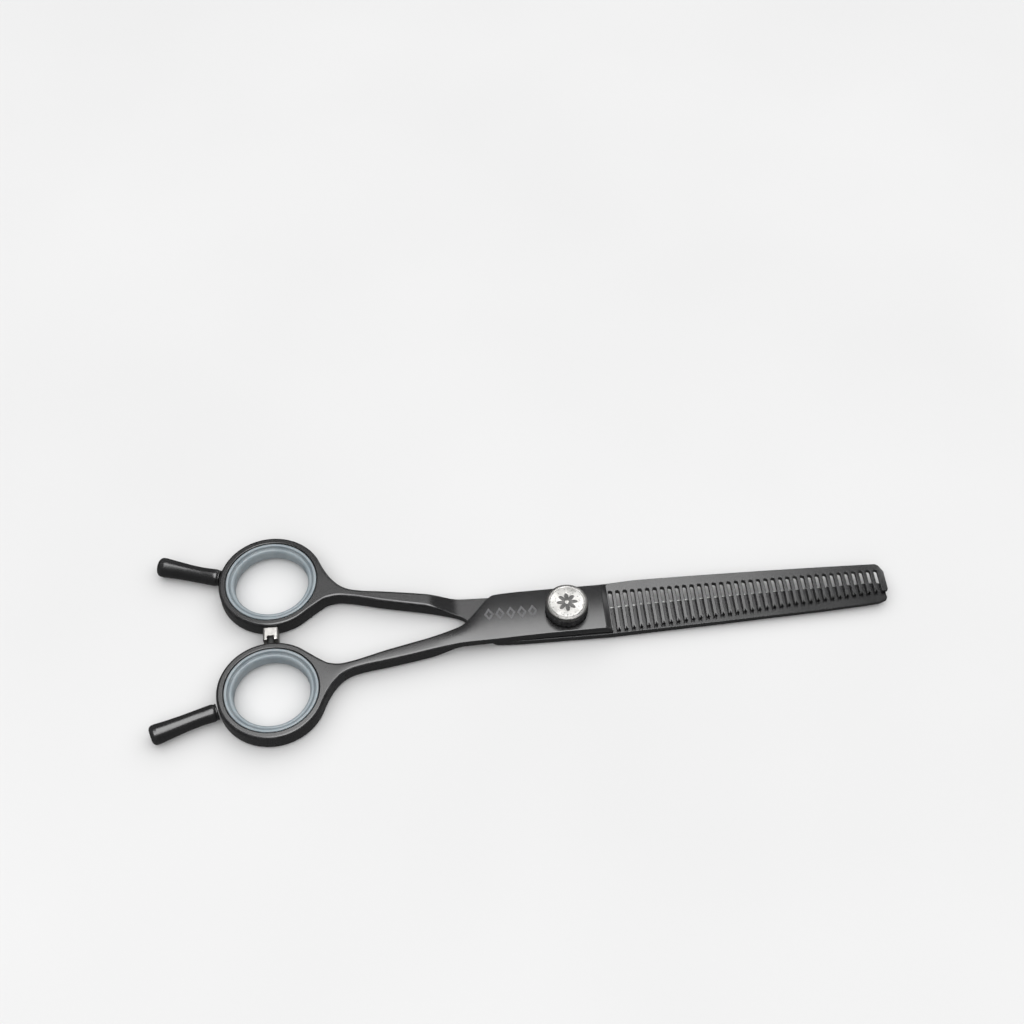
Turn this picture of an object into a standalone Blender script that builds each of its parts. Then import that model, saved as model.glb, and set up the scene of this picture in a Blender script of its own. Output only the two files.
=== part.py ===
"""Hair-thinning shears: two blade halves on a tension pivot, with finger inserts, rests and a bumper.

The frame is in metres with +Z up. The origin is on the pivot axis, in the plane the shears lie on.
+X runs along the closed blades to their tips and +Y points to the upper finger ring.

Each half is built once, in a frame of its own whose z = 0 is the plane between the two halves: its
outer face looks up and its handle bends to -Y. The comb half stays that way up. The cutting half is
turned half a turn about X, which puts its handle on the +Y side and its outer face below.
"""

import math

import bmesh
import bpy
from mathutils import Matrix, Vector

MM = 0.001

# Finger rings
RING_X = -68.4 * MM
RING_Y = 14.6 * MM
RING_RADIUS = 12.35 * MM
RING_BORE = 10.78 * MM
RING_HALF_HEIGHT = 2.2 * MM
RING_EDGE = 0.55 * MM
RING_STEPS = 40

# Halves: heights above the plane between them
MID_Z = 2.4 * MM
FIT = 0.125 * MM
BODY_OUTER = 2.125 * MM
BODY_CROWN = 0.22 * MM
SHANK_HALF_HEIGHT = 1.95 * MM
SHANK_EDGE = 1.0 * MM
SHOULDER_START = -32.5 * MM
SHOULDER_END = -24.6 * MM
BODY_FRONT = 8.7 * MM
PLATE_BACK = 9.9 * MM

# Comb blade
COMB_TIP = 76.2 * MM
COMB_TIP_CORNER = 1.1 * MM
COMB_BACK = ((9.9, 6.45), (18.0, 6.9), (75.1, 6.0), (76.2, 3.8))
COMB_BACK_HEIGHT = (1.62 * MM, 1.35 * MM)
COMB_TEETH_HEIGHT = (0.95 * MM, 0.9 * MM)
SLOT_COUNT = 37
SLOT_FIRST = 10.75 * MM
SLOT_LAST = 74.3 * MM
SLOT_PITCH = (SLOT_LAST - SLOT_FIRST) / (SLOT_COUNT - 1)
SLOT_WIDTH = 0.92 * MM
SLOT_ROOT = 4.5 * MM
TOOTH_HEEL = -6.0 * MM
TOOTH_RISE = 4.8 / 66.3
NOTCH_WIDTH = 0.42 * MM
NOTCH_DEPTH = 0.75 * MM

# Cutting blade
CUTTING_TIP = 75.8 * MM
CUTTING_BACK = ((9.9, 6.25), (45.0, 5.0), (74.0, 3.6), (75.8, 2.9))
CUTTING_EDGE = ((9.9, -1.0), (21.0, -1.4), (74.0, -1.9), (75.8, -1.1))
CUTTING_HEIGHT = (1.85 * MM, 1.2 * MM)
CUTTING_BEVEL = (2.9 * MM, 2.2 * MM)
EDGE_LAND = 0.08 * MM

# Pivot stack: radii, and heights above the plane the shears lie on
SCREW_RADIUS = 1.6 * MM
SCREW_HOLE = 1.75 * MM
SCREW_TIP_Z = 0.85 * MM
SCREW_HEAD = (3.1 * MM, 5.9 * MM, 6.25 * MM)
NUT_FLANGE = 4.0 * MM
NUT_FLANGE_TOP = 0.45 * MM
NUT_BARREL = 2.8 * MM
NUT_TOP = 2.05 * MM
NUT_HOLE_FLOOR = 0.6 * MM
NUT_SEAT = (4.2 * MM, 0.65 * MM)
NUT_BORE = 3.0 * MM
RIDE_WASHER = (5.0 * MM, 1.95 * MM, 2.45 * MM, 2.9 * MM)
RIDE_SEAT = (5.2 * MM, 3.05 * MM)
BUSH = (2.3 * MM, 1.8 * MM, 3.05 * MM, 4.08 * MM)
BUSH_BORE = 2.45 * MM
FRICTION_WASHER = (3.6 * MM, 1.95 * MM, 4.25 * MM, 4.68 * MM)
FRICTION_SEAT = (3.8 * MM, 4.1 * MM)
SPRING_OUTER = 3.5 * MM
SPRING_INNER = 1.95 * MM
SPRING_Z = 4.88 * MM
SPRING_THICKNESS = 0.18 * MM
SPRING_DISH = 0.16 * MM
SPRING_ARMS = 6
DIAL_RADIUS = 4.95 * MM
DIAL_BOTTOM = 4.75 * MM
DIAL_RECESS = (4.0 * MM, 5.35 * MM)
DIAL_POCKET = (3.3 * MM, 5.75 * MM)
DIAL_TOP = 6.5 * MM
DIAL_FLUTES = 24
CAP_RADIUS = 4.88 * MM
CAP_BOTTOM = 6.65 * MM
CAP_TOP = 7.9 * MM
CAP_BOSS = (3.1 * MM, 6.4 * MM)
CAP_FIELD = (3.98 * MM, 7.8 * MM)
CAP_CREST = (4.1 * MM, 4.28 * MM)
CAP_SHOULDER = ((4.58 * MM, 7.78 * MM), (4.78 * MM, 7.55 * MM), (4.88 * MM, 7.22 * MM))

# Finger inserts
INSERT_OUTER = 10.62 * MM
INSERT_HALF_HEIGHT = 2.1 * MM
INSERT_LIP = 9.65 * MM
INSERT_GROOVE = (9.4 * MM, 9.6 * MM, 1.5 * MM)
INSERT_CREST = (9.2 * MM, 1.72 * MM)
INSERT_ROUND = (8.9 * MM, 1.65 * MM)
INSERT_BORE = (8.62 * MM, 1.1 * MM)

# Finger rests: points and radii of the cutting half's rest, from the ring outwards
REST_PATH = (
    (-80.53, 17.89, 1.95),
    (-81.6, 18.19, 2.0),
    (-85.2, 19.25, 1.92),
    (-87.6, 20.08, 1.95),
    (-89.8, 20.86, 2.05),
    (-92.2, 21.7, 2.2),
    (-93.8, 22.24, 2.34),
    (-94.5, 22.48, 2.24),
    (-95.0, 22.65, 1.9),
    (-95.25, 22.73, 1.35),
)
REST_STUD = 0.9 * MM
REST_STUD_HOLE = 1.1 * MM
REST_STUD_LENGTH = 1.15 * MM
REST_STUD_ROOT = 1.4 * MM

# Bumper between the rings
BUMPER_X = -68.6 * MM
BUMPER_HALF = 1.75 * MM
BUMPER_CORNER = 0.5 * MM
BUMPER_EDGE = 0.15 * MM
BUMPER_END = -1.2 * MM
BUMPER_POCKET = (1.1 * MM, 1.3 * MM)
BUMPER_WINDOW = (0.84 * MM, 1.05 * MM)
BUMPER_STUD_LENGTH = 1.2 * MM
PAD_RADIUS = 0.94 * MM
PAD_EDGE = 0.2 * MM
PAD_SEAT = 1.15 * MM
PAD_END = -2.02 * MM
RING_GAP_FIT = 0.2 * MM

# Outlines of a half, as (x, y) along its outer side and its inner side, in millimetres
OUTER_SIDE = (
    (-61.0, -21.8), (-59.0, -21.4), (-58.0, -20.3), (-57.0, -18.6), (-55.0, -15.2), (-53.8, -13.6),
    (-52.0, -11.9), (-50.0, -10.9), (-47.0, -10.2), (-43.5, -9.7), (-36.0, -8.5), (-30.0, -7.4),
    (-24.0, -6.55), (-16.0, -6.3), (-4.6, -5.95), (8.7, -5.8),
)
INNER_SIDE = (
    (-61.0, -5.2), (-59.5, -6.0), (-57.2, -7.6), (-55.3, -8.65), (-53.0, -9.0), (-50.3, -8.6),
    (-47.0, -7.8), (-43.5, -6.8), (-38.0, -5.5), (-32.0, -4.1), (-27.0, -2.7), (-24.6, -1.75),
    (-22.5, 0.1), (-20.0, 2.9), (-18.2, 4.85), (-16.7, 5.8), (-15.0, 6.0), (-10.3, 6.18),
    (8.7, 6.3),
)


def smooth_value(points, x):
    """The value at x of a smooth curve through points, flat where the points turn back."""
    xs = [p[0] for p in points]
    ys = [p[1] for p in points]
    slopes = [(ys[i + 1] - ys[i]) / (xs[i + 1] - xs[i]) for i in range(len(xs) - 1)]
    tangents = [slopes[0]]
    for before, after in zip(slopes, slopes[1:]):
        turns_back = before * after <= 0
        tangents.append(0.0 if turns_back else 2 * before * after / (before + after))
    tangents.append(slopes[-1])
    x = min(max(x, xs[0]), xs[-1])
    i = max(k for k in range(len(xs) - 1) if xs[k] <= x)
    width = xs[i + 1] - xs[i]
    t = (x - xs[i]) / width
    value = (2 * t**3 - 3 * t**2 + 1) * ys[i] + (3 * t**2 - 2 * t**3) * ys[i + 1]
    return value + width * ((t**3 - 2 * t**2 + t) * tangents[i] + (t**3 - t**2) * tangents[i + 1])


def ease(start, end, x):
    """0 before start and 1 after end, with a smooth rise between."""
    t = min(max((x - start) / (end - start), 0.0), 1.0)
    return t * t * (3 - 2 * t)


def mix(a, b, t):
    return a + (b - a) * t


def stretch(first, last, count):
    """count values from first up to, but not including, last."""
    return [mix(first, last, i / count) for i in range(count)]


def corner(y, z, across, up, radius):
    """Three points round a corner at (y, z), turning from the side wall to the face or back."""
    radius = min(radius, abs(up))
    inset = radius * (1 - math.sqrt(0.5))
    sy = math.copysign(1, across)
    sz = math.copysign(1, up)
    return [
        (y, z - sz * radius),
        (y - sy * inset, z - sz * inset),
        (y - sy * radius, z),
    ]


def section(y_low, y_high, z_in, z_low, z_high, face, r_in, r_out):
    """A closed outline across a half: inner face at z_in, and the outer face from z_high at y_high
    by way of the face points to z_low at y_low."""
    high = 0.45 * (z_high - z_in)
    low = 0.45 * (z_low - z_in)
    points = corner(y_high, z_high, 1, high, r_out)
    points += face
    points += reversed(corner(y_low, z_low, -1, low, r_out))
    points += corner(y_low, z_in, -1, -low, r_in)
    points += reversed(corner(y_high, z_in, 1, -high, r_in))
    return points


def loft(bm, stations):
    """A closed skin over outlines that all have as many points, each at its own x."""
    rings = []
    for x, outline in stations:
        rings.append([bm.verts.new((x, y, z)) for y, z in outline])
    for near, far in zip(rings, rings[1:]):
        for i in range(len(near)):
            j = (i + 1) % len(near)
            bm.faces.new((near[i], near[j], far[j], far[i]))
    bm.faces.new(reversed(rings[0]))
    bm.faces.new(rings[-1])
    bmesh.ops.recalc_face_normals(bm, faces=bm.faces)


def body_stations():
    """Outlines of the handle and the body, from inside the finger ring to the front of the body."""
    xs = stretch(-61.0, -50.0, 14) + stretch(-50.0, -34.0, 7) + stretch(-34.0, -24.6, 9)
    xs += stretch(-24.6, -15.0, 11) + stretch(-15.0, 8.7, 3) + [BODY_FRONT / MM]
    stations = []
    for x in xs:
        low = smooth_value(OUTER_SIDE, x) * MM
        high = smooth_value(INNER_SIDE, x) * MM
        near_ring = 1 - ease(-61.0, -50.0, x)
        into_body = ease(SHOULDER_START / MM, SHOULDER_END / MM, x)
        half = mix(SHANK_HALF_HEIGHT, RING_HALF_HEIGHT - 0.02 * MM, near_ring)
        z_in = mix(-half, FIT, into_body)
        z_out = mix(half, BODY_OUTER - BODY_CROWN, into_body)
        r_out = mix(SHANK_EDGE, 0.3 * MM, into_body)
        r_in = mix(SHANK_EDGE, 0.12 * MM, into_body)
        crown = mix(0.05 * MM, BODY_CROWN, into_body)
        face = []
        for t in (0.2, 0.5, 0.8):
            rise = crown * (1 - (2 * t - 1) ** 2)
            face.append((mix(high, low, t), z_out + rise))
        stations.append((x * MM, section(low, high, z_in, z_out, z_out, face, r_in, r_out)))
    return stations


def comb_stations():
    """Outlines of the toothed plate before its slots are cut."""
    corner_start = COMB_TIP - COMB_TIP_CORNER
    stations = []
    for x in (PLATE_BACK, 20 * MM, 45 * MM, corner_start, COMB_TIP):
        along = (x - PLATE_BACK) / (COMB_TIP - PLATE_BACK)
        low = TOOTH_HEEL + (x - PLATE_BACK) * TOOTH_RISE
        high = smooth_value(COMB_BACK, x / MM) * MM
        z_high = mix(*COMB_BACK_HEIGHT, along)
        z_low = mix(*COMB_TEETH_HEIGHT, along)
        face = [(mix(high, low, t), mix(z_high, z_low, t)) for t in (0.2, 0.5, 0.8)]
        stations.append((x, section(low, high, FIT, z_low, z_high, face, 0.05 * MM, 0.15 * MM)))
    return stations


def cutting_stations():
    """Outlines of the plain blade: a flat inner face, a flat outer face and one edge bevel."""
    stations = []
    for x in (PLATE_BACK, 20 * MM, 45 * MM, 70 * MM, 74 * MM, CUTTING_TIP):
        along = (x - PLATE_BACK) / (CUTTING_TIP - PLATE_BACK)
        low = smooth_value(CUTTING_EDGE, x / MM) * MM
        high = smooth_value(CUTTING_BACK, x / MM) * MM
        z_high = mix(*CUTTING_HEIGHT, along)
        knee = low + mix(*CUTTING_BEVEL, along)
        face = [(mix(high, knee, t), z_high) for t in (0.3, 0.7, 1.0)]
        outline = section(low, high, FIT, FIT + EDGE_LAND, z_high, face, 0.04 * MM, 0.2 * MM)
        stations.append((x, outline))
    return stations


def material(name, colour, roughness, metallic=0.0):
    made = bpy.data.materials.new(name)
    made.use_nodes = True
    shader = made.node_tree.nodes["Principled BSDF"]
    shader.inputs["Base Color"].default_value = (*colour, 1.0)
    shader.inputs["Roughness"].default_value = roughness
    shader.inputs["Metallic"].default_value = metallic
    made.diffuse_color = (*colour, 1.0)
    return made


def add_object(name, mesh, collection, paint=None):
    made = bpy.data.objects.new(name, mesh)
    collection.objects.link(made)
    if paint:
        mesh.materials.append(paint)
        mesh.shade_smooth()
        mesh.set_sharp_from_angle(angle=math.radians(35))
    else:
        made.hide_render = True
        made.display_type = "WIRE"
    return made


def mesh_of(name, fill):
    """A mesh that fill(bm) builds."""
    bm = bmesh.new()
    fill(bm)
    mesh = bpy.data.meshes.new(name)
    bm.to_mesh(mesh)
    bm.free()
    return mesh


def turned(name, profile, collection, paint=None, steps=28):
    """A turned shape about Z. The profile runs down its outer side, and a closed one is a ring."""
    closed = profile[0] == profile[-1]
    points = profile[:-1] if closed else profile

    def fill(bm):
        verts = [bm.verts.new((radius, 0, z)) for radius, z in points]
        for a, b in zip(verts, verts[1:]):
            bm.edges.new((a, b))
        if closed:
            bm.edges.new((verts[-1], verts[0]))

    made = add_object(name, mesh_of(name, fill), collection, paint)
    screw = made.modifiers.new("Turn", "SCREW")
    screw.steps = steps
    screw.render_steps = steps
    screw.use_merge_vertices = True
    screw.merge_threshold = 0.00001
    return made


def tube_profile(outer, inner, bottom, top, edge=0.08 * MM):
    """A closed ring profile with its outer edges broken."""
    return [
        (inner, top),
        (outer - edge, top),
        (outer, top - edge),
        (outer, bottom + edge),
        (outer - edge, bottom),
        (inner, bottom),
        (inner, top),
    ]


def disc_profile(radius, bottom, top, edge=0.08 * MM):
    return [
        (0.0, top),
        (radius - edge, top),
        (radius, top - edge),
        (radius, bottom + edge),
        (radius - edge, bottom),
        (0.0, bottom),
    ]


def boolean(target, cutter, operation="DIFFERENCE"):
    """Cuts or joins a helper that stands in the target's own frame."""
    cutter.parent = target
    modifier = target.modifiers.new(cutter.name, "BOOLEAN")
    modifier.operation = operation
    modifier.object = cutter
    modifier.solver = "EXACT"


def cylinder_cutter(name, radius, bottom, top, cutters, steps=28):
    return turned(name, disc_profile(radius, bottom, top, 0.0001 * MM), cutters, steps=steps)


def rod_cutter(name, start, direction, radius, length, cutters):
    """A round rod from start along direction."""
    turn = Vector((0, 0, 1)).rotation_difference(Vector(direction)).to_matrix().to_4x4()
    place = Matrix.Translation(start) @ turn @ Matrix.Translation((0, 0, length / 2))

    def fill(bm):
        bmesh.ops.create_cone(
            bm, cap_ends=True, segments=16, radius1=radius, radius2=radius, depth=length
        )
        bmesh.ops.transform(bm, matrix=place, verts=bm.verts)

    return add_object(name, mesh_of(name, fill), cutters)


def rest_direction():
    """Unit direction from the cutting half's ring centre out along its finger rest."""
    along = Vector((REST_PATH[0][0] * MM - RING_X, REST_PATH[0][1] * MM - RING_Y, 0))
    return along.normalized()


def slot_cutters(cutters):
    """The gaps between the teeth: round at the root and open past the tooth tips."""
    half = SLOT_WIDTH / 2
    turns = [math.pi * i / 4 for i in range(5)]
    outline = [(half * math.cos(a), SLOT_ROOT - half + half * math.sin(a)) for a in turns]
    outline += [(-half, -8 * MM), (half, -8 * MM)]

    def fill(bm):
        for i in range(SLOT_COUNT):
            x = SLOT_FIRST + i * SLOT_PITCH
            face = bm.faces.new([bm.verts.new((x + dx, y, -1 * MM)) for dx, y in outline])
            grown = bmesh.ops.extrude_face_region(bm, geom=[face])
            moved = [v for v in grown["geom"] if isinstance(v, bmesh.types.BMVert)]
            bmesh.ops.translate(bm, verts=moved, vec=(0, 0, 4 * MM))
        bmesh.ops.recalc_face_normals(bm, faces=bm.faces)

    return add_object("cut_slots", mesh_of("cut_slots", fill), cutters)


def notch_cutters(cutters):
    """The small V in the end of each tooth."""

    def fill(bm):
        for i in range(SLOT_COUNT - 1):
            x = SLOT_FIRST + (i + 0.5) * SLOT_PITCH
            tip = TOOTH_HEEL + (x - PLATE_BACK) * TOOTH_RISE
            side = NOTCH_WIDTH / 2
            below = 0.5 * MM
            reach = side * (1 + below / NOTCH_DEPTH)
            corners = ((x - reach, tip - below), (x + reach, tip - below), (x, tip + NOTCH_DEPTH))
            face = bm.faces.new([bm.verts.new((cx, cy, -1 * MM)) for cx, cy in corners])
            grown = bmesh.ops.extrude_face_region(bm, geom=[face])
            moved = [v for v in grown["geom"] if isinstance(v, bmesh.types.BMVert)]
            bmesh.ops.translate(bm, verts=moved, vec=(0, 0, 4 * MM))
        bmesh.ops.recalc_face_normals(bm, faces=bm.faces)

    return add_object("cut_notches", mesh_of("cut_notches", fill), cutters)


def ring_blank(name, cutters):
    """The solid disc that a half's finger ring is bored from."""
    made = turned(
        name,
        disc_profile(RING_RADIUS, -RING_HALF_HEIGHT, RING_HALF_HEIGHT, RING_EDGE),
        cutters,
        steps=RING_STEPS,
    )
    made.location = (RING_X, -RING_Y, 0)
    return made


def ring_bore(name, cutters):
    """The bore of a finger ring, with its rims broken."""
    height = RING_HALF_HEIGHT + 1 * MM
    break_at = RING_HALF_HEIGHT - 0.15 * MM
    flare = RING_BORE + 1.15 * MM
    profile = [
        (0.0, height),
        (flare, height),
        (RING_BORE, break_at),
        (RING_BORE, -break_at),
        (flare, -height),
        (0.0, -height),
    ]
    made = turned(name, profile, cutters, steps=RING_STEPS)
    made.location = (RING_X, -RING_Y, 0)
    return made


def half(name, blade_stations, extra_cuts, parts, cutters, paint):
    """One half: handle, body and blade in one skin, joined to its finger ring and bored."""

    def fill(bm):
        loft(bm, body_stations() + blade_stations)

    made = add_object(name, mesh_of(name, fill), parts, paint)
    boolean(made, ring_blank(name + "_ring", cutters), "UNION")
    boolean(made, ring_bore(name + "_ring_bore", cutters))
    out = rest_direction()
    start = Vector((RING_X, -RING_Y, 0)) + Vector((out.x, -out.y, 0)) * (RING_BORE - 1 * MM)
    hole = rod_cutter(
        name + "_rest_hole", start, (out.x, -out.y, 0), REST_STUD_HOLE, 4 * MM, cutters
    )
    boolean(made, hole)
    for cut in extra_cuts:
        boolean(made, cut)
    return made


def comb_blade_half(parts, cutters, paint):
    floor, ceiling = -3 * MM, 3 * MM
    cuts = [
        cylinder_cutter("cut_bush_bore", BUSH_BORE, floor, ceiling, cutters),
        cylinder_cutter("cut_ride_seat", RIDE_SEAT[0], floor, RIDE_SEAT[1] - MID_Z, cutters),
        cylinder_cutter(
            "cut_friction_seat", FRICTION_SEAT[0], FRICTION_SEAT[1] - MID_Z, ceiling, cutters
        ),
        slot_cutters(cutters),
        notch_cutters(cutters),
    ]
    made = half("comb_blade_half", comb_stations(), cuts, parts, cutters, paint)
    made.location = (0, 0, MID_Z)
    return made


def cutting_blade_half(parts, cutters, paint):
    stud_start = (BUMPER_X, -RING_Y + RING_BORE - 1 * MM, 0)
    cuts = [
        cylinder_cutter("cut_nut_bore", NUT_BORE, -3 * MM, 3 * MM, cutters),
        cylinder_cutter("cut_nut_seat", NUT_SEAT[0], MID_Z - NUT_SEAT[1], 3 * MM, cutters),
        rod_cutter("cut_stud_hole", stud_start, (0, 1, 0), REST_STUD_HOLE, 4 * MM, cutters),
    ]
    made = half("cutting_blade_half", cutting_stations(), cuts, parts, cutters, paint)
    made.location = (0, 0, MID_Z)
    made.rotation_euler = (math.pi, 0, 0)
    return made


def pivot_nut(parts, paint):
    profile = [
        (SCREW_HOLE, NUT_TOP),
        (NUT_BARREL - 0.1 * MM, NUT_TOP),
        (NUT_BARREL, NUT_TOP - 0.1 * MM),
        (NUT_BARREL, NUT_FLANGE_TOP),
        (NUT_FLANGE - 0.05 * MM, NUT_FLANGE_TOP),
        (NUT_FLANGE, NUT_FLANGE_TOP - 0.05 * MM),
        (NUT_FLANGE, 0.12 * MM),
        (NUT_FLANGE - 0.12 * MM, 0.0),
        (0.0, 0.0),
    ]
    well = [(0.0, NUT_HOLE_FLOOR), (SCREW_HOLE - 0.05 * MM, NUT_HOLE_FLOOR)]
    return turned("pivot_nut", well + profile, parts, paint)


def pivot_screw(parts, paint):
    radius, bottom, top = SCREW_HEAD
    profile = [
        (0.0, top),
        (radius - 0.1 * MM, top),
        (radius, top - 0.1 * MM),
        (radius, bottom),
        (SCREW_RADIUS, bottom),
        (SCREW_RADIUS, SCREW_TIP_Z + 0.3 * MM),
        (SCREW_RADIUS - 0.3 * MM, SCREW_TIP_Z),
        (0.0, SCREW_TIP_Z),
    ]
    return turned("pivot_screw", profile, parts, paint)


def tension_dial(parts, cutters, paint):
    """A hollow fluted dial: the spring works in its recess and the screw head sits in its pocket."""
    edge = 0.18 * MM
    profile = [
        (DIAL_POCKET[0], DIAL_TOP),
        (DIAL_RADIUS - edge, DIAL_TOP),
        (DIAL_RADIUS, DIAL_TOP - edge),
        (DIAL_RADIUS, DIAL_BOTTOM + edge),
        (DIAL_RADIUS - edge, DIAL_BOTTOM),
        (DIAL_RECESS[0], DIAL_BOTTOM),
        (DIAL_RECESS[0], DIAL_RECESS[1]),
        (SCREW_HOLE, DIAL_RECESS[1]),
        (SCREW_HOLE, DIAL_POCKET[1]),
        (DIAL_POCKET[0], DIAL_POCKET[1]),
        (DIAL_POCKET[0], DIAL_TOP),
    ]
    made = turned("tension_dial", profile, parts, paint, steps=DIAL_FLUTES * 2)

    def fill(bm):
        for i in range(DIAL_FLUTES):
            turn = Matrix.Rotation((i + 0.5) * math.tau / DIAL_FLUTES, 4, "Z")
            place = Matrix.Translation((DIAL_RADIUS + 0.07 * MM, 0, (DIAL_BOTTOM + DIAL_TOP) / 2))
            bmesh.ops.create_cone(
                bm,
                cap_ends=True,
                segments=4,
                radius1=0.2 * MM,
                radius2=0.2 * MM,
                depth=3 * MM,
                matrix=turn @ place,
            )

    boolean(made, add_object("cut_flutes", mesh_of("cut_flutes", fill), cutters))
    return made


def dial_cap(parts, paint):
    """A bright cap: a flat field inside a raised rim that rounds over to the side."""
    profile = [
        (0.0, CAP_FIELD[1]),
        CAP_FIELD,
        (CAP_CREST[0], CAP_TOP),
        (CAP_CREST[1], CAP_TOP),
        *CAP_SHOULDER,
        (CAP_RADIUS, CAP_BOTTOM + 0.1 * MM),
        (CAP_RADIUS - 0.1 * MM, CAP_BOTTOM),
        (CAP_BOSS[0], CAP_BOTTOM),
        (CAP_BOSS[0], CAP_BOSS[1]),
        (0.0, CAP_BOSS[1]),
    ]
    return turned("dial_cap", profile, parts, paint, steps=36)


def leaf_spring(parts, cutters, paint):
    """A dished spring washer whose rim is cut into arms."""
    dish = SPRING_DISH
    thick = SPRING_THICKNESS
    profile = [
        (SPRING_INNER, SPRING_Z + dish + thick),
        (SPRING_OUTER, SPRING_Z + thick),
        (SPRING_OUTER, SPRING_Z),
        (SPRING_INNER, SPRING_Z + dish),
        (SPRING_INNER, SPRING_Z + dish + thick),
    ]
    made = turned("leaf_spring", profile, parts, paint, steps=24)

    def fill(bm):
        for i in range(SPRING_ARMS):
            turn = Matrix.Rotation((i + 0.5) * math.tau / SPRING_ARMS, 4, "Z")
            place = Matrix.Translation((SPRING_OUTER, 0, SPRING_Z)) @ Matrix.Diagonal(
                (1.6 * MM, 0.7 * MM, 2 * MM, 1)
            )
            bmesh.ops.create_cube(bm, size=1, matrix=turn @ place)

    boolean(made, add_object("cut_spring_arms", mesh_of("cut_spring_arms", fill), cutters))
    return made


def washer(name, dims, parts, paint, steps=28):
    outer, inner, bottom, top = dims
    return turned(name, tube_profile(outer, inner, bottom, top), parts, paint, steps=steps)


def finger_insert(name, side, parts, paint):
    """A soft liner: a flat lip, a groove and a rounded crest at both faces, and a finger bore."""
    groove_in, groove_out, groove_floor = INSERT_GROOVE
    upper = [
        INSERT_BORE,
        INSERT_ROUND,
        INSERT_CREST,
        (groove_in, groove_floor),
        (groove_out, groove_floor),
        (INSERT_LIP, INSERT_HALF_HEIGHT),
        (INSERT_OUTER, INSERT_HALF_HEIGHT),
    ]
    profile = upper + [(r, -z) for r, z in reversed(upper)]
    made = turned(name, profile + profile[:1], parts, paint, steps=RING_STEPS)
    made.location = (RING_X, side * RING_Y, MID_Z)
    return made


def solid_from_curve(curve, name, collection, paint):
    """The curve's tube as a welded mesh object of its own, in place of the curve."""
    bpy.context.view_layer.update()
    graph = bpy.context.evaluated_depsgraph_get()
    mesh = bpy.data.meshes.new_from_object(curve.evaluated_get(graph))
    place = curve.matrix_world.copy()
    bm = bmesh.new()
    bm.from_mesh(mesh)
    bmesh.ops.remove_doubles(bm, verts=bm.verts, dist=0.000001)
    bmesh.ops.recalc_face_normals(bm, faces=bm.faces)
    bm.to_mesh(mesh)
    bm.free()
    mesh.materials.clear()
    made = add_object(name, mesh, collection, paint)
    made.matrix_world = place
    bpy.data.objects.remove(curve)
    return made


def finger_rest(name, side, parts, cutters, paint):
    """A curved peg that flares to its end, with a threaded stud for the ring."""
    data = bpy.data.curves.new(name + "_path", "CURVE")
    data.dimensions = "3D"
    data.bevel_depth = 1.0 * MM
    data.bevel_resolution = 2
    data.use_fill_caps = True
    spline = data.splines.new("POLY")
    spline.points.add(len(REST_PATH) - 1)
    for point, (x, y, radius) in zip(spline.points, REST_PATH):
        point.co = (x * MM, side * y * MM, MID_Z, 1)
        point.radius = radius
    curve = bpy.data.objects.new(name + "_path", data)
    parts.objects.link(curve)
    made = solid_from_curve(curve, name, parts, paint)
    out = rest_direction()
    inward = (-out.x, -side * out.y, 0)
    x, y, _ = REST_PATH[1]
    start = (x * MM, side * y * MM, MID_Z)
    reach = REST_STUD_ROOT + REST_STUD_LENGTH
    stud = rod_cutter(name + "_stud", start, inward, REST_STUD, reach, cutters)
    boolean(made, stud, "UNION")
    return made


def rounded_square(half, radius, steps=5):
    """The corners of a square outline as arcs, counter-clockwise."""
    points = []
    for quarter in range(4):
        turn = quarter * math.pi / 2
        centre = (half - radius) * math.sqrt(2)
        cx = centre * math.cos(turn + math.pi / 4)
        cy = centre * math.sin(turn + math.pi / 4)
        for k in range(steps + 1):
            angle = turn + math.pi / 2 * k / steps
            points.append((cx + radius * math.cos(angle), cy + radius * math.sin(angle)))
    return points


def bumper_stud(parts, cutters, paint):
    """A square collar with a pocket for its pad, on a threaded stud in the cutting half's ring.

    It is lofted from its back face to its mouth. A window in its top shows the pad.
    """
    face = RING_Y - RING_RADIUS - RING_GAP_FIT
    length = face - BUMPER_END
    round_in = BUMPER_EDGE * (1 - math.sqrt(0.5))
    ends = ((0.0, BUMPER_EDGE), (round_in, round_in), (BUMPER_EDGE, 0.0))

    def fill(bm):
        stations = []
        for x, inset in ends:
            stations.append((x, rounded_square(BUMPER_HALF - inset, BUMPER_CORNER - inset)))
        for x, inset in reversed(ends):
            stations.append((length - x, rounded_square(BUMPER_HALF - inset, BUMPER_CORNER - inset)))
        loft(bm, stations)

    made = add_object("bumper_stud", mesh_of("bumper_stud", fill), parts, paint)
    pocket_radius, pocket_depth = BUMPER_POCKET
    window_half, window_length = BUMPER_WINDOW
    mouth = length + 1 * MM
    stud = rod_cutter(
        "bumper_screw", (1 * MM, 0, 0), (-1, 0, 0), REST_STUD, 1 * MM + BUMPER_STUD_LENGTH, cutters
    )
    pocket = rod_cutter(
        "cut_pad_pocket", (mouth, 0, 0), (-1, 0, 0), pocket_radius, 1 * MM + pocket_depth, cutters
    )

    def window_box(bm):
        middle = Matrix.Translation((length - window_length / 2 + 0.5 * MM, 0, BUMPER_HALF))
        size = Matrix.Diagonal((window_length + 1 * MM, 2 * window_half, 2 * BUMPER_HALF, 1))
        bmesh.ops.create_cube(bm, size=1, matrix=middle @ size)

    boolean(made, stud, "UNION")
    boolean(made, pocket)
    boolean(made, add_object("cut_pad_window", mesh_of("cut_pad_window", window_box), cutters))
    made.location = (BUMPER_X, face, MID_Z)
    made.rotation_euler = (0, 0, -math.pi / 2)
    return made


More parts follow.
